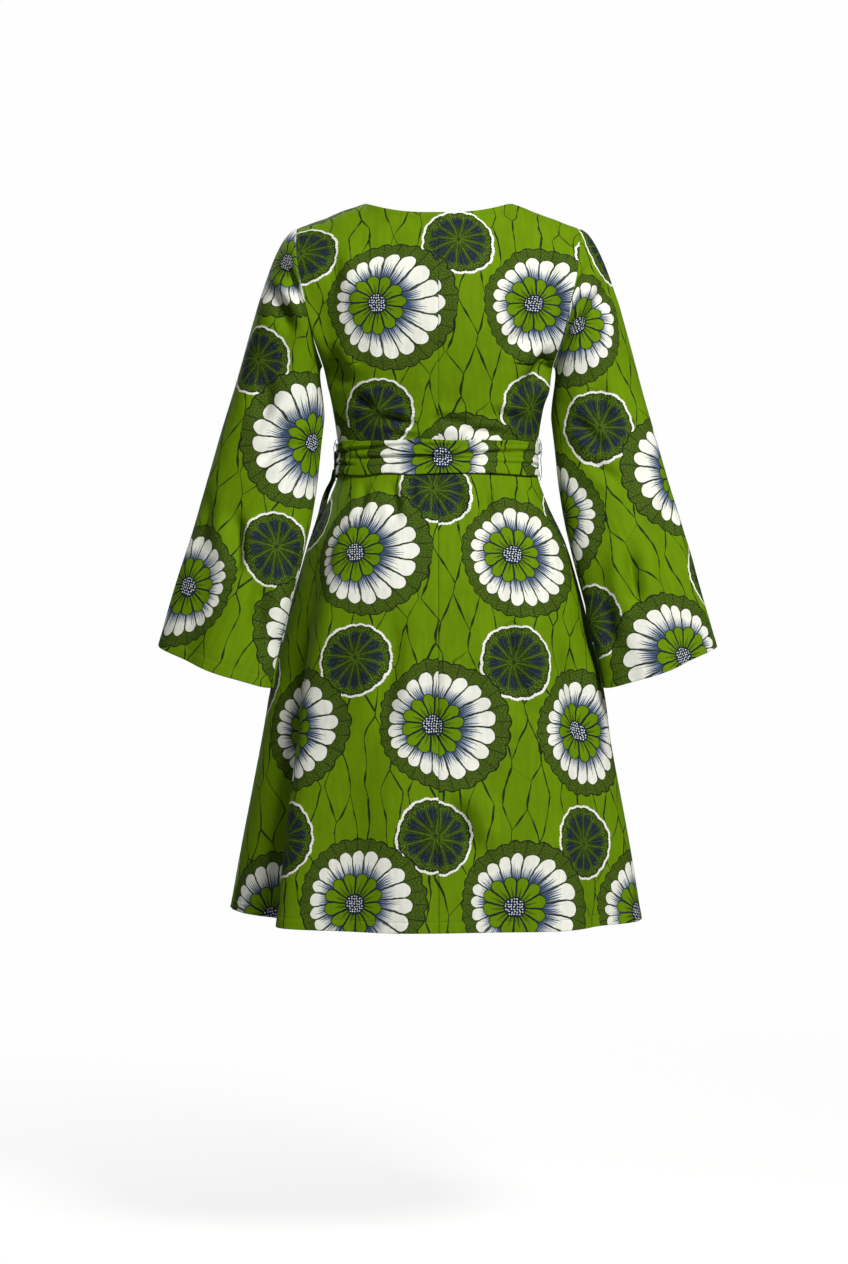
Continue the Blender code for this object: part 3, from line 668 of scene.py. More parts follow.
# %% Cloth roll of bodice and skirt, the same for every layer
WAIST_CALM = 0.015
WAIST_CALM_RUN = 0.06
ROLL_AT_WAIST = 0.0004
ROLL_AWAY = 0.0009


def body_roll(angle, z, side):
    """Soft waves round the body. The angle counts from centre back towards the left side."""
    calm = ease((np.abs(z - WAIST_Z) - WAIST_CALM) / WAIST_CALM_RUN)
    waves = soft_waves(angle * side, z, seed=11, lowest=5, highest=17, tall=16.0)
    return waves * (ROLL_AT_WAIST + ROLL_AWAY * calm)


# %% Flat cut of back and fronts
CUT_COLUMNS = 140
CUT_ROWS = 110


def body_cut(angles, levels, front=False):
    """Unrolls the whole back or front from its middle line on an even grid, read at a panel's points."""
    share = np.sin(np.linspace(-np.pi / 2, np.pi / 2, CUT_COLUMNS + 1))
    turn = np.sign(share) * np.degrees(np.arcsin(np.abs(share) ** (RING_POWER / 2.0)))
    turn = 180.0 - turn if front else turn
    top = np.minimum(shoulder_level(TIP_HALF * share), 0.0)
    rise = np.linspace(1.0, 0.0, CUT_ROWS + 1)
    grid = torso(turn[:, None] + 0.0 * rise, WAIST_Z + (top[:, None] - WAIST_Z) * rise, front=front)
    cut = unroll(grid, CUT_COLUMNS // 2)
    at = section_shares(angles)[0]
    column = (np.arcsin(np.clip(at, -1.0, 1.0)) / np.pi + 0.5) * CUT_COLUMNS
    highest = np.minimum(shoulder_level(TIP_HALF * at), 0.0)
    row = (1.0 - (levels - WAIST_Z) / (highest - WAIST_Z)) * CUT_ROWS
    i = np.clip(column.astype(int), 0, CUT_COLUMNS - 1)
    j = np.clip(row.astype(int), 0, CUT_ROWS - 1)
    u, v = (column - i)[..., None], (row - j)[..., None]
    near = cut[i, j] * (1 - v) + cut[i, j + 1] * v
    far = cut[i + 1, j] * (1 - v) + cut[i + 1, j + 1] * v
    return near * (1 - u) + far * u


# %% What back and fronts have in common
SIDE_CALM = 0.020
TOP_CALM = 0.016


def bodice_normals(points, way):
    """Outward directions of a bodice panel that faces this way along Y."""
    return grid_normals(points, points * np.array([1.0, 1.0, 0.0]) + np.array([0.0, way, 0.02]))


def bodice_height(points, normals, angles, levels, side, from_side, from_top):
    """Roll, creases and side seam of a bodice panel, and how free its cloth is at each point."""
    free = ease(from_side / SIDE_CALM) * ease(from_top / TOP_CALM)
    height = MIDDLE + body_roll(angles, levels, side) * free
    height += crease_height(mirror(points, side), mirror(normals, side), BODICE_CREASES) * free
    return height + seam_dip(from_side), free


def on_side(side, points, normals, flat, height):
    """The panel laid out by its height and mirrored to its side, with its directions and its cut."""
    laid = points + normals * height[..., None]
    return mirror(laid, side), mirror(normals, side), flat * np.array([side, 1.0])


# %% Back bodice halves
NECK_COLUMNS = 26
SHOULDER_COLUMNS = 36


def back_half(side):
    neck_angle = math.degrees(math.asin((NECK_HALF / TIP_HALF) ** (RING_POWER / 2.0)))
    neck_part = neck_angle * seam_shares(NECK_COLUMNS, last=False, close=0.007)[:-1]
    rest = seam_shares(SHOULDER_COLUMNS, first=False, close=0.006)
    angles = np.concatenate([neck_part, neck_angle + (90.0 - neck_angle) * rest])
    top_x = TIP_HALF * section_shares(angles)[0]
    dip = NECK_DIP * (1.0 - (top_x / NECK_HALF) ** NECK_BEND)
    top = np.where(angles < neck_angle - 1e-6, dip, shoulder_level(top_x))
    levels = panel_levels(top)
    angles = np.repeat(angles[:, None], levels.shape[1], axis=1)
    points = torso(angles, levels)
    normals = bodice_normals(points, 0.05)
    normals[0, :, 0] = 0.0
    normals = unit(normals)
    from_centre = edge_distance(points, 0)
    from_top = end_distance(points)
    height, free = bodice_height(points, normals, angles, levels, side, edge_distance(points, -1), from_top)
    height += seam_dip(from_centre)
    height += ripple(levels, from_centre, start=side, **CENTRE_RIPPLE) * free
    neck = angles < neck_angle
    height += np.where(neck, stitch_dip(from_top, EDGE_TURN), seam_dip(from_top))
    flat = body_cut(angles, levels)
    flat = flat - flat[0, np.argmax(levels[0])]
    return *on_side(side, points, normals, flat, height), neck[:, 0]


# %% [markdown]
# ## Front bodice
# Each front reaches from the side seam across the body to its crossing edge, which runs from the neck point
# down to the waist on the other side. The right front lies over the left one. Both crossing edges are
# stitched down, and together they make the V of the neck.

# %% Front bodice halves
FRONT_COLUMNS = 88
CROSSING_COLUMNS = (0.0075, 0.014, 0.0195, 0.022, 0.0245, 0.031)


def front_half(side, over):
    shares = seam_shares(FRONT_COLUMNS, last=False, close=0.0035, extra=CROSSING_COLUMNS)
    top_angles = 90.0 + (wrap_edge_angle(np.array(0.0)) - 90.0) * shares
    levels = panel_levels(shoulder_level(TIP_HALF * section_shares(top_angles)[0]))
    edge = wrap_edge_angle(levels[-1])
    angles = 90.0 + (edge[None, :] - 90.0) * shares[:, None]
    points = torso(angles, levels, front=True)
    normals = bodice_normals(points, -0.05)
    from_top = end_distance(points)
    height = bodice_height(points, normals, angles, levels, side, edge_distance(points, 0), from_top)[0]
    height += seam_dip(from_top) + stitch_dip(edge_distance(points, -1), EDGE_TURN)
    if over:
        height += wrap_lift(angles, edge[None, :])
    return on_side(side, points, normals, body_cut(angles, levels, front=True), height)


# %% [markdown]
# ## Skirt
# Four panels hang from the waist and swing out into soft flutes. The fronts are cut wide enough to cross,
# with the right one on top. The hem turns up fifteen millimetres and is stitched round. The crossing edges
# are never closed: the cloth dips along their stitching too, and the thread shows on the upper one.

# %% Skirt panels
BACK_COLUMNS = 104
CROSSED_COLUMNS = 150
CROSSED_EDGE_COLUMNS = (0.003, 0.0085, 0.0105, 0.0125, 0.018)
SKIRT_ROWS = 146
SKIRT_LENGTH = 0.665
SKIRT_CALM = 0.03
CORNER_CALM = 0.012
STRAIGHT_SHARE = 0.625


def skirt_panel(first, last, over=False):
    front = abs(last) > 90.0
    if front:
        across = seam_shares(CROSSED_COLUMNS, last=False, close=0.0020, extra=CROSSED_EDGE_COLUMNS)
    else:
        across = seam_shares(BACK_COLUMNS, close=0.0032)
    down = hem_shares(SKIRT_ROWS, SKIRT_LENGTH)
    angles = np.repeat((first + (last - first) * across)[:, None], len(down), axis=1)
    shares = np.repeat(down[None, :], len(across), axis=0)
    points = skirt(angles, shares)
    normals = skirt_normals(angles, shares)
    level = points[..., 2]
    above = end_distance(points)
    from_first = edge_distance(points, 0)
    from_last = edge_distance(points, -1)
    height = MIDDLE + body_roll(angles, level, 1.0)
    height += crease_height(points, normals, SKIRT_CREASES) * ease((WAIST_Z - level) / SKIRT_CALM)
    height += stitch_dip(above) + seam_dip(from_first)
    height += ripple(from_first, above, **HEM_RIPPLE) + ripple(level, from_first, **SEAM_RIPPLE)
    if front:
        height += stitch_dip(from_last, EDGE_TURN) * ease(above / CORNER_CALM)
    else:
        height += seam_dip(from_last) + ripple(level, from_last, **SEAM_RIPPLE)
    if over:
        height += wrap_lift(np.abs(angles), 180.0 + WRAP_ANGLE)
    start = int(STRAIGHT_SHARE * len(across)) if front else 0
    flat = unroll(points, start) * np.array([1.0 if last > 0 else -1.0, 1.0])
    return points + normals * height[..., None], normals, flat


# %% [markdown]
# ## Sleeves
# A set-in sleeve starts as a ring as large as the armhole, stands off the shoulder with a little fullness,
# and widens to a bell at the cuff. It is a tube, so its grid is merged along the seam under the arm.

# %% Armhole
SLEEVE_LANES = 168
RIM_STEP = 0.001


def armhole(lane):
    """The left armhole and its outward directions: lane 0 at the shoulder, behind first, 0.5 under the arm."""
    half = lane * 2.0
    behind = half <= 1.0
    from_top = np.where(behind, half, 2.0 - half)
    share = (1.0 + np.cos(np.pi * from_top)) / 2.0
    z = UNDERARM_Z + (TIP_Z - UNDERARM_Z) * share
    loops = []
    side_seam = 90.0 + 0.0 * z
    for near, fore, way in ((88.5, False, 0.05), (91.5, True, -0.05)):
        rim = torso(side_seam, z, fore)
        higher = torso(side_seam, np.clip(z + RIM_STEP, UNDERARM_Z, TIP_Z), fore)
        lower = torso(side_seam, np.clip(z - RIM_STEP, UNDERARM_Z, TIP_Z), fore)
        out = unit(np.cross(rim - torso(near + 0.0 * z, z, fore), higher - lower))
        facing = rim * np.array([1, 1, 0]) + np.array([0, way, 0.02])
        loops.append((rim, out * np.sign((out * facing).sum(-1))[:, None]))
    points = np.where(behind[:, None], loops[0][0], loops[1][0])
    outward = np.where(behind[:, None], loops[0][1], loops[1][1])
    return points, outward


# %% Sleeve ring
SLEEVE_FLUTE_BEND = 1.3


def sleeve_ring(share, turn):
    """A point of the left sleeve: share of the way from upper arm to cuff, angle from the outer edge."""
    at = share * (len(SLEEVE) - 1)
    steps = np.arange(len(SLEEVE), dtype=float)
    columns = [smooth_column(np.column_stack([steps, SLEEVE]), c + 1, at) for c in range(7)]
    outer_z, outer_x, inner_z, inner_x, deep, twist, back = columns
    centre = np.stack([(outer_x + inner_x) / 2, back, (outer_z + inner_z) / 2], axis=-1)
    long_way = np.stack([(outer_x - inner_x) / 2, -twist, (outer_z - inner_z) / 2], axis=-1)
    lean = np.arctan2(twist, (outer_x - inner_x) / 2)
    short_way = np.stack([np.sin(lean), np.cos(lean), 0.0 * lean], axis=-1) * deep[..., None]
    wave = 0.0 * at * turn
    for middle, width, height in SLEEVE_FLUTES:
        wave = wave + height * share ** SLEEVE_FLUTE_BEND * np.exp(-((turn_between(turn, middle)) / width) ** 2)
    angle = np.radians(turn)
    ring = long_way * np.cos(angle)[..., None] + short_way * np.sin(angle)[..., None]
    return centre + ring + unit(ring) * wave[..., None]


# %% How the sleeve leaves the armhole
LEAVE_UNDER = np.array([0.028, 0.0, -0.012])
LEAVE_MIDDLE = np.array([0.055, 0.0, -0.050])
LEAVE_TOP = np.array([0.112, 0.0, -0.018])
UNDER_SHARE = 0.45
TOP_SHARE = 0.45
RING_STEP = 0.05
SEAT_UNDER = 0.0006
SEAT_GAP = 0.00012
HEAD_CLOSE = (0.0, 0.006, 0.014, 0.024)
HEAD_START = 0.04
HEAD_ROWS = 44


def sleeve_head(turns):
    """Rows from the armhole to the first ring: a smooth curve with a way out of the one and into the other."""
    loop, loop_out = armhole((turns / 360.0) % 1.0)
    low = (UNDERARM_Z - loop[:, 2]) / (UNDERARM_Z - TIP_Z)
    under = 1.0 - ease(low / UNDER_SHARE)
    top = ease((low - (1.0 - TOP_SHARE)) / TOP_SHARE)
    middle = 1.0 - under - top
    leave = under[:, None] * LEAVE_UNDER + middle[:, None] * LEAVE_MIDDLE + top[:, None] * LEAVE_TOP
    seat = loop + loop_out * (WALL + SEAT_UNDER * under)[:, None] + unit(leave) * SEAT_GAP
    zero = np.zeros(len(turns))
    ring = sleeve_ring(zero, turns)
    onward = (sleeve_ring(zero + RING_STEP, turns) - ring) / RING_STEP
    arrive = unit(onward) * np.linalg.norm(ring - seat, axis=-1, keepdims=True)
    t = np.concatenate([HEAD_CLOSE, np.linspace(HEAD_START, 1.0, HEAD_ROWS)[:-1]])[None, :, None]
    return (
        seat[:, None] * (1 + 2 * t) * (1 - t) ** 2
        + leave[:, None] * t * (1 - t) ** 2
        + ring[:, None] * t * t * (3 - 2 * t)
        - arrive[:, None] * t * t * (1 - t)
    )


# %% Sleeve panel
SLEEVE_ROWS = 78
SLEEVE_LENGTH = 0.375
SLEEVE_CALM = 0.02
SLEEVE_ROLL = 0.0012
UNDERARM_CALM = 0.8
UNDERARM_CALM_WIDTH = 30.0


def sleeve_panel(side, table):
    turns = np.linspace(-180.0, 180.0, SLEEVE_LANES + 1)
    shares = hem_shares(SLEEVE_ROWS, SLEEVE_LENGTH)
    grid_turns = np.repeat(turns[:, None], len(shares), axis=1)
    body = sleeve_ring(np.repeat(shares[None, :], len(turns), axis=0), grid_turns)
    points = np.concatenate([sleeve_head(turns), body], axis=1)
    wrapped = np.concatenate([points[-2:-1], points, points[1:2]])
    normals = grid_normals(wrapped, wrapped - points.mean(axis=0, keepdims=True))[1:-1]
    above = end_distance(points)
    below = end_distance(points[:, ::-1])[:, ::-1]
    free = ease(below / SLEEVE_CALM)
    turn_all = np.repeat(turns[:, None], points.shape[1], axis=1)
    roll = soft_waves(turn_all, points[..., 2], seed=23 + int(side), lowest=2, highest=9, tall=22.0)
    calm = 1.0 - UNDERARM_CALM * np.exp(-((np.abs(turn_all) - 180.0) / UNDERARM_CALM_WIDTH) ** 2)
    height = -MIDDLE + roll * SLEEVE_ROLL * free * calm
    height += crease_height(points, normals, table) * free * ease(above / SLEEVE_CALM)
    height += seam_dip(below, 0.0003) + stitch_dip(above)
    height += ripple(np.radians(turn_all), above, **CUFF_RIPPLE)
    return on_side(side, points, normals, unroll(points, SLEEVE_LANES // 2), height)


# %% [markdown]
# ## Sewing it together
# Hems and the crossing edges of the bodice are turned under first. Then each panel is laid on the form and
# hung from the root, the solid of the same name is hidden, and the size and area of its cut are printed. Every
# panel takes its own place on the printed cloth, so the print doesn't meet exactly at a seam.

# %% Sewing a panel
SAMPLE_COLUMN = 40
SAMPLE_ROW = 60
SAMPLE_ROW_SKIRT = 90
pieces = {}
threads_made = []


def turn_side_edge(points, normals, flat, width):
    """The same turned edge, along the last column."""
    turned = turn_under(*[grid.transpose(1, 0, 2) for grid in (points, normals, flat)], width)
    return [grid.transpose(1, 0, 2) for grid in turned]


def sew(node, panel, print_place, tube=False, thick=CLOTH):
    points, normals, flat = panel
    name = node + "_cloth"
    size = flat.reshape(-1, 2).max(axis=0) - flat.reshape(-1, 2).min(axis=0)
    a, b, c, d = points[:-1, :-1], points[1:, :-1], points[1:, 1:], points[:-1, 1:]
    halves = np.stack([np.cross(b - a, d - a), np.cross(b - c, d - c)])
    area = np.linalg.norm(halves, axis=-1).sum() / 2
    piece = lay_cloth(name, points, flat + np.array(print_place), normals, thick, tube)
    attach(piece, "root")
    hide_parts(node)
    cut = (float(size[0]), float(size[1]))
    area = float(min(area, cut[0] * cut[1]))
    print(name, "is cut from", [round(s, 3) for s in cut], "m, area", round(area, 4))
    pieces[name] = piece


def stitch_line(name, points, normals, clear=0.00008):
    row = stitch_row(name, points + normals * (CLOTH / 2 + clear), normals)
    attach(row, "root")
    threads_made.append(row)
    return row


def nearest_index(distances, wanted):
    return int(np.argmin(np.abs(distances - wanted)))


# %% Back bodice
for side, word, place in ((1.0, "left", (0.136, 0.142)), (-1.0, "right", (0.140, 0.139))):
    points, normals, flat, neck = back_half(side)
    row = nearest_index(end_distance(points)[0], EDGE_TURN)
    thread = stitch_line("neck_stitches_back_" + word, points[neck, row], normals[neck, row])
    sew("back_bodice_" + word, (points, normals, flat), place)

# %% Front bodice
FRONTS = (
    # side, word, over, place on the print
    (1.0, "left", False, (0.204, 0.331)),
    (-1.0, "right", True, (-0.117, 0.262)),
)
for side, word, over, place in FRONTS:
    points, normals, flat = front_half(side, over)
    column = nearest_index(edge_distance(points, -1)[:, SAMPLE_ROW], EDGE_TURN)
    thread = stitch_line("edge_stitches_front_" + word, points[column], normals[column])
    folded, cut = turn_side_edge(points, normals, flat, EDGE_TURN)
    sew("front_bodice_" + word, (folded, normals, cut), place)

# %% Skirt
SKIRT_PANELS = (
    # piece, first and last angle, over, place on the print
    ("back_skirt_left", 0.0, 90.0, False, (0.104, 0.142)),
    ("back_skirt_right", 0.0, -90.0, False, (0.107, 0.146)),
    ("front_skirt_left", 90.0, 180.0 + WRAP_ANGLE, False, (0.140, 0.190)),
    ("front_skirt_right", -90.0, -180.0 - WRAP_ANGLE, True, (-0.090, 0.015)),
)
for node, first, last, over, place in SKIRT_PANELS:
    points, normals, flat = skirt_panel(first, last, over)
    row = nearest_index(end_distance(points)[SAMPLE_COLUMN], HEM_TURN)
    threads = [stitch_line("hem_stitches_" + node, points[:, row], normals[:, row])]
    folded, cut = turn_under(points, normals, flat, HEM_TURN)
    if over:
        column = nearest_index(edge_distance(points, -1)[:, SAMPLE_ROW_SKIRT], EDGE_TURN)
        rows = slice(2, row)
        threads.append(stitch_line("edge_stitches_" + node, points[column, rows], normals[column, rows]))
    sew(node, (folded, normals, cut), place)

# %% Sleeves
SLEEVES = (
    # word, side, creases, place on the print
    ("left", 1.0, SLEEVE_CREASES_LEFT, (0.052, 0.300)),
    ("right", -1.0, SLEEVE_CREASES_RIGHT, (0.110, 0.140)),
)
for word, side, creases, place in SLEEVES:
    points, normals, flat = sleeve_panel(side, creases)
    row = nearest_index(end_distance(points)[SAMPLE_COLUMN], HEM_TURN)
    thread = stitch_line("hem_stitches_sleeve_" + word, points[:, row], normals[:, row])
    folded, cut = turn_under(points, normals, flat, HEM_TURN)
    sew("sleeve_" + word, (folded, normals, cut), place, tube=True)

# %% [markdown]
# ## Tie belt
# The belt is a long strip, folded and sewn along its edges, so it is nearly twice as thick as the panels.
# Pulled round the waist it wrinkles lengthwise. It is tied in front at the left side: the knot is a pad of
# folded cloth, and two ends hang from it.

# %% Belt folds: start and end angle, start and end height from the middle, half width, height
BELT_FOLDS = np.array([
    (-80.0, 10.0, 0.009, 0.004, 0.0022, -0.0015),
    (-30.0, 62.0, -0.004, 0.001, 0.0022, -0.0017),
    (-95.0, -22.0, -0.012, -0.006, 0.0020, -0.0013),
    (20.0, 100.0, 0.013, 0.006, 0.0020, -0.0016),
    (48.0, 108.0, -0.012, -0.004, 0.0022, -0.0018),
    (-12.0, 40.0, 0.014, 0.017, 0.0018, -0.0009),
    (-160.0, -70.0, 0.003, 0.009, 0.0022, -0.0014),
    (-175.0, -110.0, -0.010, -0.004, 0.0022, -0.0014),
    (-230.0, -150.0, 0.010, 0.004, 0.0020, -0.0014),
    (-248.0, -196.0, -0.005, -0.011, 0.0022, -0.0018),
    (-246.0, -205.0, 0.004, 0.014, 0.0022, -0.0017),
])
KNOT_ANGLE = 112.0
CLEAR_START = 182.0
CLEAR_RUN = 18.0
BELT_FACING = np.array([1.0, 1.6, 0.0])


def belt_surface(angle, z):
    """Inner face of the belt: the waist's own form, moved out clear of both fronts."""
    bodice_side = torso(angle, np.maximum(z, WAIST_Z) + 0.0 * angle)
    skirt_side = skirt(angle, np.clip((WAIST_Z - z) / (WAIST_Z - HEM_Z), 0.0, 1.0) + 0.0 * angle)
    at = np.where((z >= WAIST_Z)[..., None], bodice_side, skirt_side)
    at[..., 2] = z
    reach = np.where(angle < 0.0, -angle, 360.0 - angle)
    lift = wrap_lift(reach, 180.0 + WRAP_ANGLE) - LIFT * ease((reach - CLEAR_START - WRAP_ANGLE) / CLEAR_RUN)
    out = unit(at * BELT_FACING)
    return at + out * (WALL + LAY_GAP + lift)[..., None], out


def wrapped_angle(angle):
    return np.where(angle < -180.0, angle + 360.0, angle)


# %% Belt band
END_GAP = 0.6
BELT_COLUMNS = 300
BELT_ROWS = 25
UPPER_WAVE = 0.0017
LOWER_WAVE = 0.0018
FOLD_LEAST = 0.0024
FOLD_WAVE = 0.0010
FOLD_DEPTH = 2.4
FOLD_WANDER = 0.0015
FOLD_BENDS = 5.0
FOLD_FADE = 0.3
FOLD_BANK = (0.55, 2.2, 1.3)
EDGE_ROUND = 0.0006


def belt_band():
    turns = np.linspace(KNOT_ANGLE - END_GAP, KNOT_ANGLE - 360.0 + END_GAP, BELT_COLUMNS)
    turn, share = np.meshgrid(turns, np.linspace(1.0, -1.0, BELT_ROWS), indexing="ij")
    upper = UPPER_WAVE * soft_waves(turn, 0.0 * turn, seed=5, lowest=4, highest=15, tall=1.0)
    lower = LOWER_WAVE * soft_waves(turn, 0.0 * turn, seed=8, lowest=4, highest=15, tall=1.0)
    z = WAIST_Z + BELT_HALF * share + np.where(share > 0, upper, lower) * np.abs(share)
    points, out = belt_surface(wrapped_angle(turn), z)
    folds = FOLD_LEAST + FOLD_WAVE * soft_waves(turn, z, seed=31, lowest=3, highest=12, tall=130.0)
    bank, away, wide = FOLD_BANK
    for a0, a1, h0, h1, half, height in BELT_FOLDS:
        t = (turn - a0) / (a1 - a0)
        off = z - WAIST_Z - h0 - (h1 - h0) * t - FOLD_WANDER * np.sin(t * FOLD_BENDS)
        shape = np.exp(-(off / half) ** 2) - bank * np.exp(-((off - away * half) / (wide * half)) ** 2)
        folds = folds + FOLD_DEPTH * height * shape * ease(np.minimum(t, 1 - t) / FOLD_FADE)
    folds = np.maximum(folds, 0.0) - EDGE_ROUND * np.abs(share) ** 8
    middle = points[:, BELT_ROWS // 2]
    arc = np.cumsum(np.r_[0.0, np.linalg.norm(np.diff(middle, axis=0), axis=-1)])
    flat = np.stack([np.repeat(arc[:, None], BELT_ROWS, axis=1), z - WAIST_Z], axis=-1)
    return points + out * (MIDDLE + folds)[..., None], out, flat


sew("belt_band", belt_band(), (0.100, 0.250), thick=BELT_CLOTH)


# %% Knot
KNOT_WIDTH = 7.5
KNOT_HALF = 0.020
KNOT_STAND = 0.0013
KNOT_DOME = 0.0140
KNOT_LEAST = 0.0005
KNOT_TUCK = 0.12
KNOT_NARROW = 0.10
KNOT_SLANT = 0.12
KNOT_CURL = 0.6
DOME_POWERS = (2.6, 3.0)
KNOT_CUT = (0.022, 0.024)
KNOT_FOLDS = (
    # shift, lean, half width, depth
    (-0.55, 0.30, 0.07, 0.0024),
    (-0.12, 0.42, 0.08, 0.0030),
    (0.26, 0.50, 0.06, 0.0022),
    (0.62, 0.34, 0.08, 0.0026),
)


def belt_knot():
    """A pad over the belt, with folds that run slantwise across it, and sides tucked in."""
    across, up = np.meshgrid(np.linspace(-1, 1, 61), np.linspace(-1, 1, 49), indexing="ij")
    angles = KNOT_ANGLE + across * KNOT_WIDTH * (1.0 - KNOT_TUCK * up * up)
    base, out = belt_surface(angles, WAIST_Z + up * KNOT_HALF * (1.0 - KNOT_NARROW * across * across))
    base = base + out * (WALL + LAY_GAP + KNOT_STAND)
    dome = 1.0
    for way, power in zip((across, up), DOME_POWERS):
        dome = dome * np.sqrt(np.clip(1 - np.abs(way) ** power, 0, 1))
    folds = 0.0
    for shift, lean, half, depth in KNOT_FOLDS:
        off = across - shift - lean * up * up * KNOT_CURL - KNOT_SLANT * up
        folds = folds + depth * np.exp(-(off / half) ** 2)
    height = KNOT_LEAST + KNOT_DOME * dome - folds * dome
    flat = np.stack([across * KNOT_CUT[0], up * KNOT_CUT[1]], axis=-1)
    return base + out * height[..., None], out, flat


sew("belt_knot", belt_knot(), (0.040, 0.215), thick=BELT_CLOTH)


# %% Hanging ends
END_TOP_Z = -0.383
END_BEND = 0.8
END_NARROW = 0.010
END_WIDENS = 0.013
END_FACING = np.array([1.0, 1.0, 0.35])
END_OPEN = 0.35
END_SPREAD = 0.85
END_BULGE = 0.012
BULGE_AT = 0.13
BULGE_LENGTH = 0.15
END_STAND = 0.0008
END_RISE = 0.0040
RISE_SHARE = 0.07
CURL_HEIGHT = 0.0016
CURL_SHARE = 0.8
CURL_LEAST = 0.25
WAVE_HEIGHT = 0.0010
END_CLEAR = 0.0014
ENDS = (
    # word, angle at the knot and at the end, level of the end, how far off the skirt, start of its waves
    ("back", 104.0, 99.0, -0.660, 0.0021, 0.4),
    ("front", 120.5, 127.0, -0.630, 0.0049, 2.1),
)


def belt_end(top_angle, end_angle, end_z, lay, seed):
    across, down = np.meshgrid(np.linspace(-1, 1, 33), np.linspace(0, 1, 110), indexing="ij")
    z = END_TOP_Z + (end_z - END_TOP_Z) * down
    share = (WAIST_Z - z) / (WAIST_Z - HEM_Z)
    half = END_NARROW + END_WIDENS * ease(down / END_OPEN)
    spread = np.degrees(half / (END_SPREAD * smooth_column(SKIRT, 1, z)))
    angles = top_angle + (end_angle - top_angle) * down ** END_BEND + across * spread
    out = unit(skirt_normals(angles, share) * END_FACING)
    curl = CURL_HEIGHT * np.cos(np.pi * across * 1.5 + seed) * (CURL_LEAST + 1.0 - ease(down / CURL_SHARE))
    wave = WAVE_HEIGHT * np.sin(down * 9.0 + seed * 2) * np.sin(across * 2.0 + down * 4.0) * ease(down * 3)
    bulge = END_BULGE * np.exp(-((down - BULGE_AT) / BULGE_LENGTH) ** 2)
    stand = lay + END_STAND + END_RISE * (1.0 - ease(down / RISE_SHARE)) + bulge
    points = skirt(angles, share) + out * (stand + np.maximum(curl + wave, -lay + END_CLEAR))[..., None]
    return points, out, np.stack([across * half, -down * (END_TOP_Z - end_z)], axis=-1)


for word, *shape in ENDS:
    place = (0.300 + shape[-1], 0.100)
    sew("belt_tail_" + word, belt_end(*shape), place, thick=BELT_CLOTH)

# %% [markdown]
# ## Belt carriers
# A small loop of twisted thread at each side seam keeps the belt at the waist. A tube with a two-lobed
# section that turns along its path shows the twist, and takes few faces.

# %% Thread loops
LOOP_STEPS = 97
LOOP_SIDES = 13
LOOP_HALF = 0.030
LOOP_STAND = 0.0062
LOOP_GAP = 0.0010
LOOP_TURNS = 11
LOOP_THREAD = 0.00062


def thread_loop(name, side):
    turns = np.linspace(-1.0, 1.0, LOOP_STEPS)
    stand = LOOP_STAND * (1.0 - np.abs(turns) ** 4)
    levels = WAIST_Z + turns * LOOP_HALF
    half = np.where(levels >= WAIST_Z, smooth_column(BODICE, 1, levels), smooth_column(SKIRT, 1, levels))
    path = np.stack([half + WALL + LOOP_GAP + stand, 0.0 * levels, levels], axis=-1)
    forward = np.array([0.0, 1.0, 0.0])
    inward = np.cross(unit(np.gradient(path, axis=0)), forward)
    spin = np.linspace(0.0, 2 * np.pi * LOOP_TURNS, LOOP_STEPS)
    around = np.linspace(0.0, 2 * np.pi, LOOP_SIDES)
    thick = LOOP_THREAD * (0.78 + 0.30 * np.cos(2 * (around[None, :] - spin[:, None])))
    rim = inward[:, None] * np.cos(around)[None, :, None] + forward * np.sin(around)[None, :, None]
    grid = path[:, None] + rim * thick[..., None]
    deselect()
    bpy.ops.mesh.primitive_grid_add(x_subdivisions=LOOP_STEPS - 1, y_subdivisions=LOOP_SIDES - 1, size=1)
    loop = bpy.context.object
    loop.name = name
    loop.data.vertices.foreach_set("co", mirror(grid.transpose(1, 0, 2), side).ravel())
    loop.data.update()
    edit_all()
    bpy.ops.mesh.remove_doubles(threshold=0.00001)
    bpy.ops.mesh.fill_holes(sides=0)
    bpy.ops.mesh.normals_make_consistent(inside=False)
    bpy.ops.object.mode_set(mode="OBJECT")
    bpy.ops.object.shade_smooth()
    print(name, "has", len(loop.data.polygons), "faces")
    return loop


for word, side in (("left", 1.0), ("right", -1.0)):
    carrier = thread_loop("belt_carrier_" + word + "_thread", side)
    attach(carrier, "root")
    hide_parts("belt_carrier_" + word)
    threads_made.append(carrier)

# %% [markdown]
# ## Dyes and the print
# The cotton is printed with large daisies, round medallions and a net of thin veins on green. A picture of
# a print is blurred when the camera comes close, so the print is drawn by nodes from a few formulas: each
# motif has its own centre, repeats in a half drop, and is drawn in polar coordinates. The UV map is in
# metres, so every size below is the real size on the cloth.

# %% Dyes
def dye(red, green, blue):
    """A colour picked on screen, turned into the linear values that the shader works with."""
    linear = [((c / 255 + 0.055) / 1.055) ** 2.4 if c > 10 else c / 255 / 12.92 for c in (red, green, blue)]
    return (*linear, 1.0)


LEAF = dye(91, 123, 1)
MOSS = dye(66, 88, 16)
INK = dye(21, 29, 16)
CREAM = dye(216, 217, 205)
INDIGO = dye(23, 37, 64)
STREAK = dye(32, 52, 84)
BLUE = dye(66, 98, 134)
MEDALLION = dye(44, 62, 20)
WEDGE = dye(25, 32, 48)
THREAD_DARK = dye(54, 80, 12)
THREAD_LIGHT = dye(82, 116, 22)
print("leaf green in linear values", [round(c, 3) for c in LEAF])

# %% [markdown]
# A Math node does one small sum, and a motif needs dozens. The first helper places any node and fills its
# inputs. The second lets a formula be written as one: adding or multiplying two levels places the Math node
# and links it.

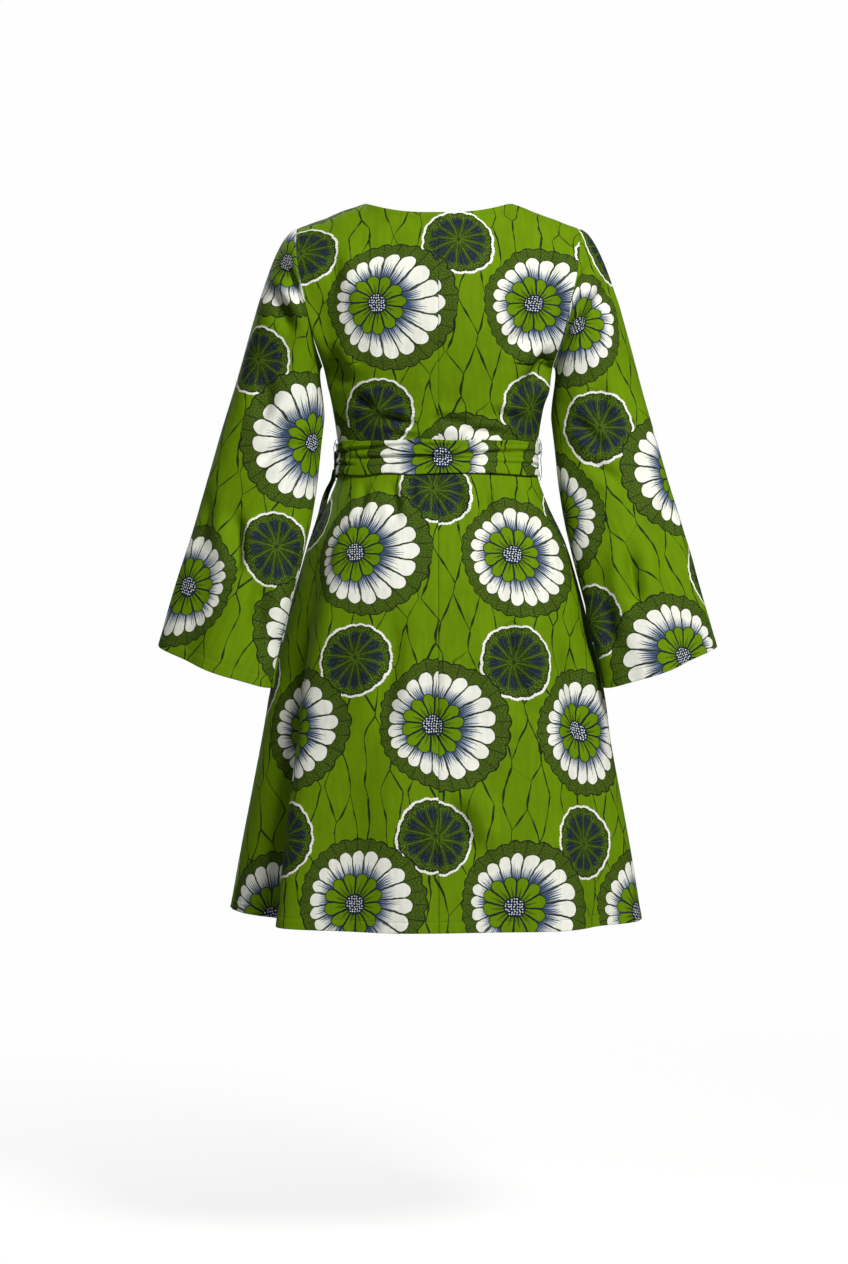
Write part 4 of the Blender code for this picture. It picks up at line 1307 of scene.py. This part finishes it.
# %% Placing a node
def feed(tree, slot, value):
    """Links a level or another node's output to an input, or writes a plain value into it."""
    value = value.socket if isinstance(value, Level) else value
    if isinstance(value, bpy.types.NodeSocket):
        tree.links.new(value, slot)
    else:
        slot.default_value = value


def add_node(tree, kind, inputs=(), **settings):
    """A node with its settings and what its inputs get."""
    node = tree.nodes.new("ShaderNode" + kind)
    for word, value in settings.items():
        setattr(node, word, value)
    for slot, value in dict(inputs).items():
        feed(tree, node.inputs[slot], value)
    return node


# %% Formulas that place Math nodes
class Level:
    """A number that changes over the cloth, held by one output of a node."""

    def __init__(self, tree, socket):
        self.tree = tree
        self.socket = socket

    def math(self, operation, *others):
        node = add_node(self.tree, "Math", enumerate((self, *others)), operation=operation)
        return Level(self.tree, node.outputs[0])

    def __add__(self, other):
        return self.math("ADD", other)

    def __sub__(self, other):
        return self.math("SUBTRACT", other)

    def __mul__(self, other):
        return self.math("MULTIPLY", other)

    def __truediv__(self, other):
        return self.math("DIVIDE", other)

    def over(self, limit, soft):
        """1 where this level is over the limit and 0 under it, with a soft step between."""
        step = (self - limit) / soft + 0.5
        return step.least(1.0).most(0.0)

    def below(self, limit, soft):
        return self.over(limit, -soft)

    def least(self, other):
        return self.math("MINIMUM", other)

    def most(self, other):
        return self.math("MAXIMUM", other)

    def size(self):
        return self.math("ABSOLUTE")

    def waves(self, count):
        """From 0 to 1, with twice as many humps as the count in one turn."""
        return (self * count).math("SINE").size()

    def spokes(self, count):
        return (self * count).math("COSINE").size()

    def nearest_whole(self):
        return self.math("ROUND")


def length_of(a, b):
    return (a * a + b * b).math("SQRT")


# %% Building blocks of a node group
def start_group(name, inputs, outputs):
    """A node group whose inputs are levels. Each output is a level or a colour."""
    tree = bpy.data.node_groups.new(name, "ShaderNodeTree")
    for word in inputs:
        tree.interface.new_socket(name=word, in_out="INPUT", socket_type="NodeSocketFloat")
    for word, kind in outputs:
        tree.interface.new_socket(name=word, in_out="OUTPUT", socket_type="NodeSocket" + kind)
    entry = tree.nodes.new("NodeGroupInput")
    leave = tree.nodes.new("NodeGroupOutput")
    return tree, [Level(tree, entry.outputs[word]) for word in inputs], leave


def finish_group(tree, leave, **values):
    for word, value in values.items():
        feed(tree, leave.inputs[word], value)
    return tree


def levels_of(tree, node, words):
    return [Level(tree, node.outputs[word]) for word in words]


def place_of(tree, across, up):
    """Two levels as one place, for the texture nodes."""
    return add_node(tree, "CombineXYZ", {0: across, 1: up}).outputs[0]


def parts_of(tree, place):
    return levels_of(tree, add_node(tree, "SeparateXYZ", {0: place}), (0, 1))


def noise(tree, place, scale, detail=2.0):
    inputs = {"Vector": place, "Scale": scale, "Detail": detail}
    return add_node(tree, "TexNoise", inputs, noise_dimensions="2D")


def noise_level(tree, place, scale, detail):
    return Level(tree, noise(tree, place, scale, detail).outputs[0])


def cells(tree, place, scale, feature="F1", randomness=1.0):
    inputs = {"Vector": place, "Scale": scale, "Randomness": randomness}
    return add_node(tree, "TexVoronoi", inputs, voronoi_dimensions="2D", feature=feature)


def paint(tree, color, *layers):
    """A colour with others laid over it in turn, each where its mask is 1."""
    for over, mask in layers:
        color = add_node(tree, "Mix", {0: mask, 6: color, 7: over}, data_type="RGBA").outputs[2]
    return color


# %% [markdown]
# The wax and the roller never print a line twice in the same way. Before anything is drawn, the place on
# the cloth is shifted by a slow noise, and by a quick one of less than a millimetre.

# %% Unsteady hand
SLOW_SCALE = 14.0
SLOW_SHIFT = 0.012
QUICK_SCALE = 150.0
QUICK_SHIFT = 0.0016


def build_unsteady_hand():
    outputs = [("Across", "Float"), ("Up", "Float")]
    tree, place, leave = start_group("unsteady hand", ["Across", "Up"], outputs)
    socket = place_of(tree, *place)
    for scale, shift in ((SLOW_SCALE, SLOW_SHIFT), (QUICK_SCALE, QUICK_SHIFT)):
        colour = noise(tree, socket, scale, 1.0).outputs["Color"]
        dice = levels_of(tree, add_node(tree, "SeparateColor", {0: colour}), (0, 1))
        place = [way + (chance - 0.5) * shift for way, chance in zip(place, dice)]
    return finish_group(tree, leave, Across=place[0], Up=place[1])


# %% [markdown]
# Rounding a place to the nearest centre of a repeat gives the place inside one motif. A half drop is two
# such grids, one between the other, and the nearer centre is taken.

# %% Places of the motifs
REPEAT_ACROSS = 0.224
REPEAT_UP = 0.496
MEDALLION_FROM = {"From Across": 0.110, "From Up": 0.092}
ROW_CHANCE = 7.31


def build_repeat():
    inputs = ["Across", "Up", "From Across", "From Up"]
    outputs = [("Across", "Float"), ("Up", "Float"), ("Chance", "Float")]
    tree, (across, up, from_across, from_up), leave = start_group("half drop repeat", inputs, outputs)
    found = []
    for shift in (0.0, 0.5):
        a = (across - from_across) / REPEAT_ACROSS + shift
        b = (up - from_up) / REPEAT_UP + shift
        cell_a, cell_b = a.nearest_whole(), b.nearest_whole()
        inside = ((a - cell_a) * REPEAT_ACROSS, (b - cell_b) * REPEAT_UP)
        found.append((*inside, cell_a + shift, cell_b * ROW_CHANCE))
    first, second = found
    nearer = (length_of(*first[:2]) - length_of(*second[:2])).math("GREATER_THAN", 0.0)
    picked = [first[k] + (second[k] - first[k]) * nearer for k in range(4)]
    cell = place_of(tree, picked[2], picked[3])
    dice = add_node(tree, "TexWhiteNoise", {"Vector": cell}, noise_dimensions="2D")
    chance = dice.outputs["Value"]
    return finish_group(tree, leave, Across=picked[0], Up=picked[1], Chance=chance)


# %% A ring of petals
def petal_ring(around, reach, count, bend, gap):
    """Distance to the nearest of a ring of petals, below 0 inside it, and how far beside its middle."""
    step = 2 * math.pi / count
    within = around - (around / step).nearest_whole() * step
    along = reach * within.math("COSINE")
    beside = reach * within.math("SINE")
    half = along.least(bend) * math.tan(step / 2) - gap
    past = (along - bend).most(0.0)
    return length_of(beside, past) - half, beside


def start_motif(name):
    """A group for one motif, with angle and distance from its centre. The angle starts where chance puts it."""
    outputs = [("Color", "Color"), ("Mask", "Float")]
    tree, (across, up, chance), leave = start_group(name, ["Across", "Up", "Chance"], outputs)
    around = up.math("ARCTAN2", across) + chance * 6.283
    return tree, leave, across, chance, place_of(tree, across, up), around, length_of(across, up)


# %% Sizes of a daisy on the cloth
HALO_REACH = 0.0865
HALO_SCALLOP = 0.0034
HALO_SCALLOPS = 14.0
LACE_SCALE = 340.0
LEAN_LEAST = 0.06
LEAN_MORE = 0.16
PETALS = 20
PETAL_BEND = 0.0640
STREAKS_A_PETAL = 6
STREAK_FROM = 0.0490
STREAK_MORE = 0.0160
STREAK_TAPER = 0.020
WASH_REACH = 0.0480
DARK_REACH = 0.0390
HEART_PETALS = 12
HEART_BEND = 0.0345
HEART_GAP = 0.0011
HEART_TURN = 0.13
SEED_RIM = 0.0152
SEED_REACH = 0.0142
SEED_SCALE = 262.0
LINE = 0.0010
CRISP = 0.0006
FINE = 0.0005
print("a daisy is", 2 * HALO_REACH, "m across its lace ring")


# %% Daisy
def build_daisy():
    tree, leave, across, chance, place, around, reach = start_motif("daisy")
    ring = reach + across * (chance * LEAN_MORE + LEAN_LEAST)
    edge = around.waves(HALO_SCALLOPS) * HALO_SCALLOP + HALO_REACH
    lace = cells(tree, place_of(tree, around * 0.076, reach * 0.60), LACE_SCALE, "DISTANCE_TO_EDGE")
    mesh = Level(tree, lace.outputs["Distance"]).below(0.07, 0.07)
    spokes = around.spokes(HALO_SCALLOPS).below(0.10, 0.1)
    petal = petal_ring(around, ring, PETALS, PETAL_BEND, LINE)[0]
    inside = petal.below(0.0, CRISP)
    fine = around * (PETALS * STREAKS_A_PETAL / 6.2832)
    lane = fine.math("FLOOR")
    dice = add_node(tree, "TexWhiteNoise", {"W": lane * 0.371}, noise_dimensions="1D")
    tip = Level(tree, dice.outputs["Value"]) * STREAK_MORE + STREAK_FROM
    root = ring * 0.6 + reach * 0.4
    thin = ((tip - root) / STREAK_TAPER).least(1.0).most(0.0)
    streak = (fine - lane - 0.5).size().math("LESS_THAN", thin * 0.46)
    heart, beside = petal_ring(around + HEART_TURN, reach, HEART_PETALS, HEART_BEND, HEART_GAP)
    rib = (beside.size() - (reach * (-0.03) + 0.0012)).below(0.0, FINE)
    side_rib = ((beside.size() - reach * 0.085).size() - 0.0003).below(0.0, 0.0004)
    seeds = Level(tree, cells(tree, place, SEED_SCALE, randomness=0.40).outputs["Distance"])
    color = paint(
        tree, MOSS,
        (INK, (mesh * 0.90).most(spokes * 0.85)),
        (INK, (ring - edge).size().below(LINE, CRISP)),
        (INK, petal.below(LINE, CRISP)),
        (CREAM, petal.below(0.0, FINE)),
        (BLUE, root.below(WASH_REACH, 0.017) * 0.85 * inside),
        (STREAK, streak * inside * 0.95),
        (INDIGO, reach.below(DARK_REACH, 0.0080)),
        (INK, heart.below(0.0008, CRISP)),
        (LEAF, heart.below(-0.0003, FINE)),
        (INK, rib * reach.below(0.0300, 0.002)),
        (INK, side_rib * reach.below(0.0245, 0.002) * 0.8),
        (INK, reach.below(SEED_RIM, CRISP)),
        (INDIGO, reach.below(SEED_REACH, CRISP)),
        (CREAM, seeds.below(0.25, 0.09) * reach.below(SEED_REACH - LINE, CRISP)),
    )
    return finish_group(tree, leave, Color=color, Mask=(ring - edge).below(CRISP, CRISP))


# %% Medallion
RIM_REACH = 0.0500
RIM_WAVE = 0.0016
RIM_WAVES = 9.0
BEADS = 34.0
BEAD_HEIGHT = 0.0006
WEDGES = 12
WEDGE_GAP = 0.0026


def build_medallion():
    tree, leave, across, chance, place, around, reach = start_motif("medallion")
    speck = noise_level(tree, place, 620.0, 2.0)
    grain = noise_level(tree, place, 260.0, 3.0)
    wedge = petal_ring(around, reach, WEDGES, HEART_BEND, WEDGE_GAP)[0]
    solid = wedge.below(0.0, 0.0010) * reach.over(0.0220, 0.0050) * speck.below(0.60, 0.05)
    fade = reach.below(0.0430, 0.012) * reach.over(0.004, 0.004)
    fine = (around.waves(18.0) * reach * 0.055).below(0.00022, 0.0003)
    between = (around.spokes(6.0) * reach * 0.167).below(0.00060, 0.0005)
    rim = reach - (around.spokes(RIM_WAVES) * RIM_WAVE + RIM_REACH)
    bead = around.waves(BEADS) * BEAD_HEIGHT + LINE
    color = paint(
        tree, MEDALLION,
        (INK, grain.over(0.50, 0.08) * 0.85),
        (LEAF, speck.over(0.56, 0.05) * reach.over(0.0380, 0.006) * 0.85),
        (WEDGE, solid),
        (LEAF, fine * fade * grain.over(0.48, 0.1) * 0.55),
        (LEAF, between * fade * grain.over(0.40, 0.1) * 0.66),
        (INK, rim.over(-0.0034, 0.0012)),
        (CREAM, (rim.size() - bead).below(0.0003, FINE)),
    )
    return finish_group(tree, leave, Color=color, Mask=rim.below(0.0020, CRISP))


# %% [markdown]
# The veins are a net of tall lozenges. Two Voronoi nodes give the nearest and the next seed, and the line
# halfway between them is a vein. The seeds stand on a slanting grid, so the veins slant and cross too.

# %% Veins
VEIN_ACROSS = 0.042
VEIN_UP = 0.112
VEIN_RANDOM = 0.72
VEIN_LEAST = 0.00050


def build_veins():
    tree, (across, up), leave = start_group("veins", ["Across", "Up"], [("Mask", "Float")])
    place = place_of(tree, across, up)
    bend = noise_level(tree, place, 11.0, 1.5)
    a = across / VEIN_ACROSS + bend * 0.55
    b = up / VEIN_UP + bend * 0.20
    moved = place_of(tree, a + b, a - b)
    both = [cells(tree, moved, 1.0, feature, VEIN_RANDOM) for feature in ("F1", "F2")]
    first, second = [parts_of(tree, node.outputs["Position"]) for node in both]
    at = parts_of(tree, moved)
    gap = (second[0] - first[0], second[1] - first[1])
    apart = length_of(*gap).most(0.001)
    way = (gap[0] / apart, gap[1] / apart)
    middle = [(first[k] + second[k]) * 0.5 - at[k] for k in (0, 1)]
    inner = middle[0] * way[0] + middle[1] * way[1]
    slope = ((way[0] + way[1]) / VEIN_ACROSS, (way[0] - way[1]) / VEIN_UP)
    steepness = length_of(*slope)
    width = noise_level(tree, place, 42.0, 1.0) * 0.0034 - 0.0008
    steep = (slope[1].size() / steepness).below(0.80, 0.08)
    vein = (inner / steepness - width.most(VEIN_LEAST)).below(0.0, 0.0005)
    return finish_group(tree, leave, Mask=vein * steep)


# %% Plain weave
WARP_PITCH = 0.00048
WEFT_PITCH = 0.00052
THREAD_HEIGHT = 0.00003
SLUB_HEIGHT = 0.00006
RUMPLE_HEIGHT = 0.0009


def build_weave():
    outputs = [("Height", "Float"), ("Tone", "Float")]
    tree, (across, up), leave = start_group("plain weave", ["Across", "Up"], outputs)
    place = place_of(tree, across, up)
    warp = (across * (6.2832 / WARP_PITCH)).math("SINE")
    threads = warp * (up * (6.2832 / WEFT_PITCH)).math("SINE")
    slub = noise_level(tree, place_of(tree, across * 60.0, up * 900.0), 1.0, 2.0)
    rumple = noise_level(tree, place, 42.0, 3.0)
    height = threads * THREAD_HEIGHT + slub * SLUB_HEIGHT + rumple * RUMPLE_HEIGHT
    cloud = noise_level(tree, place, 22.0, 3.0)
    wash = noise_level(tree, place_of(tree, across * 6.0, up), 24.0, 2.0)
    tone = slub * 0.06 + cloud * 0.20 + wash * 0.26 + threads * 0.02 + 0.74
    return finish_group(tree, leave, Height=height, Tone=tone)


# %% A material to fill
def start_material(name):
    material = bpy.data.materials.new(name)
    material.use_nodes = True
    tree = material.node_tree
    return material, tree, tree.nodes["Principled BSDF"]


# %% Print cotton
VEIN_INK = 0.94
COTTON_SPECULAR = 0.07


def build_print_cotton():
    material, tree, shader = start_material("print_cotton")
    cut = add_node(tree, "UVMap", uv_map="cut")
    on_cloth = dict(zip(("Across", "Up"), parts_of(tree, cut.outputs[0])))
    hand = add_node(tree, "Group", on_cloth, node_tree=build_unsteady_hand())
    drawn = {word: hand.outputs[word] for word in ("Across", "Up")}
    veins = add_node(tree, "Group", on_cloth, node_tree=build_veins())
    weave = add_node(tree, "Group", on_cloth, node_tree=build_weave())
    color = paint(tree, LEAF, (INK, Level(tree, veins.outputs["Mask"]) * VEIN_INK))
    repeat = build_repeat()
    for start, motif in ((MEDALLION_FROM, build_medallion()), ({}, build_daisy())):
        at = add_node(tree, "Group", {**drawn, **start}, node_tree=repeat)
        spot = {word: at.outputs[word] for word in ("Across", "Up", "Chance")}
        printed = add_node(tree, "Group", spot, node_tree=motif)
        color = paint(tree, color, (printed.outputs["Color"], printed.outputs["Mask"]))
    tone = weave.outputs["Tone"]
    toned = add_node(tree, "VectorMath", {0: color, "Scale": tone}, operation="SCALE")
    bump = add_node(tree, "Bump", {"Strength": 1.0, "Distance": 1.0, "Height": weave.outputs["Height"]})
    feed(tree, shader.inputs["Base Color"], toned.outputs[0])
    feed(tree, shader.inputs["Roughness"], Level(tree, tone) * 0.20 + 0.60)
    feed(tree, shader.inputs["Normal"], bump.outputs[0])
    feed(tree, shader.inputs["Specular IOR Level"], COTTON_SPECULAR)
    print("print cotton has", sum(len(g.nodes) for g in bpy.data.node_groups), "nodes in its groups")
    return material


# %% Sewing thread
def build_sewing_thread():
    material, tree, shader = start_material("sewing_thread")
    place = add_node(tree, "TexCoord").outputs["Object"]
    inputs = {"Vector": place, "Scale": 900.0, "Distortion": 1.0}
    ply = add_node(tree, "TexWave", inputs, wave_type="BANDS", bands_direction="DIAGONAL").outputs["Fac"]
    bump = add_node(tree, "Bump", {"Distance": 0.0001, "Height": ply})
    feed(tree, shader.inputs["Base Color"], paint(tree, THREAD_DARK, (THREAD_LIGHT, ply)))
    feed(tree, shader.inputs["Normal"], bump.outputs[0])
    feed(tree, shader.inputs["Roughness"], 0.55)
    return material


# %% Give the materials to the pieces
for made, material in ((pieces.values(), build_print_cotton()), (threads_made, build_sewing_thread())):
    for piece in made:
        piece.data.materials.clear()
        piece.data.materials.append(material)
print(len(pieces), "cloth pieces and", len(threads_made), "thread pieces")

# %% [markdown]
# ## Studio
# The floor is half a metre below the hem, as far as it is when the dress is worn. Floor and sky glow for the
# camera, so that they run together in white and no horizon shows. They send little of that light to the
# dress: a soft light behind it and to its right makes the creases show, and a weaker one lights the front.

# %% Floor
FLOOR_Z = -1.520
FLOOR_COLOR = dye(250, 246, 244)
BLACK = (0.0, 0.0, 0.0, 1.0)
NEAR_WHITE = (0.99, 0.99, 0.99, 1.0)


def camera_sees(tree, more, least):
    """A strength that is higher where the camera looks straight at the thing."""
    path = add_node(tree, "LightPath")
    return Level(tree, path.outputs["Is Camera Ray"]) * more + least


deselect()
bpy.ops.mesh.primitive_circle_add(vertices=96, radius=7.0, fill_type="NGON", location=(0.0, 0.0, FLOOR_Z))
floor = bpy.context.object
floor.name = "floor"
material, tree, shader = start_material("pale_floor")
place = add_node(tree, "TexCoord").outputs["Object"]
reach = add_node(tree, "VectorMath", {0: place}, operation="LENGTH")
far = Level(tree, reach.outputs["Value"]).over(1.6, 2.6) * 0.25 + 0.75
feed(tree, shader.inputs["Roughness"], 0.7)
feed(tree, shader.inputs["Specular IOR Level"], 0.0)
feed(tree, shader.inputs["Base Color"], paint(tree, FLOOR_COLOR, (BLACK, far)))
feed(tree, shader.inputs["Emission Color"], paint(tree, BLACK, (NEAR_WHITE, far)))
feed(tree, shader.inputs["Emission Strength"], camera_sees(tree, 0.78, 0.22))
floor.data.materials.append(material)

# %% Light
AIM = Vector((0.0200, 0.0, -0.6190))
LIGHT_AIM = Vector((0.0, 0.0, -0.55))
world = bpy.data.worlds.new("studio")
bpy.context.scene.world = world
world.use_nodes = True
sky = world.node_tree.nodes["Background"]
feed(world.node_tree, sky.inputs["Strength"], camera_sees(world.node_tree, 0.79, 0.20))
feed(world.node_tree, sky.inputs["Color"], (1.0, 1.0, 1.0, 1.0))


def turned_to(place, aim):
    return (aim - Vector(place)).to_track_quat("-Z", "Y").to_euler()


def soft_light(name, place, size, power):
    deselect()
    bpy.ops.object.light_add(type="AREA", location=place)
    light = bpy.context.object
    light.name = name
    light.data.shape = "RECTANGLE"
    light.data.size, light.data.size_y = size
    light.data.energy = power
    light.rotation_euler = turned_to(place, LIGHT_AIM)


soft_light("key", (-1.55, 3.1, 2.0), (1.1, 0.9), 235.0)
soft_light("fill", (1.6, -3.2, 1.9), (1.4, 1.2), 120.0)

# %% [markdown]
# ## Camera
# The picture looks at the back of the dress from four and a half metres away, level with the hips.

# %% Camera
DISTANCE = 4.5
HALF_VIEW = math.radians(11.5)
SENSOR = 36.0
bpy.ops.object.camera_add(location=AIM + Vector((0.0, DISTANCE, 0.0)))
camera = bpy.context.object
camera.rotation_euler = turned_to(camera.location, AIM)
camera.data.sensor_width = SENSOR
camera.data.lens = SENSOR / 2 / math.tan(HALF_VIEW)
bpy.context.scene.camera = camera
bpy.context.scene.view_settings.view_transform = "Standard"
print("camera lens", round(camera.data.lens, 1), "mm")
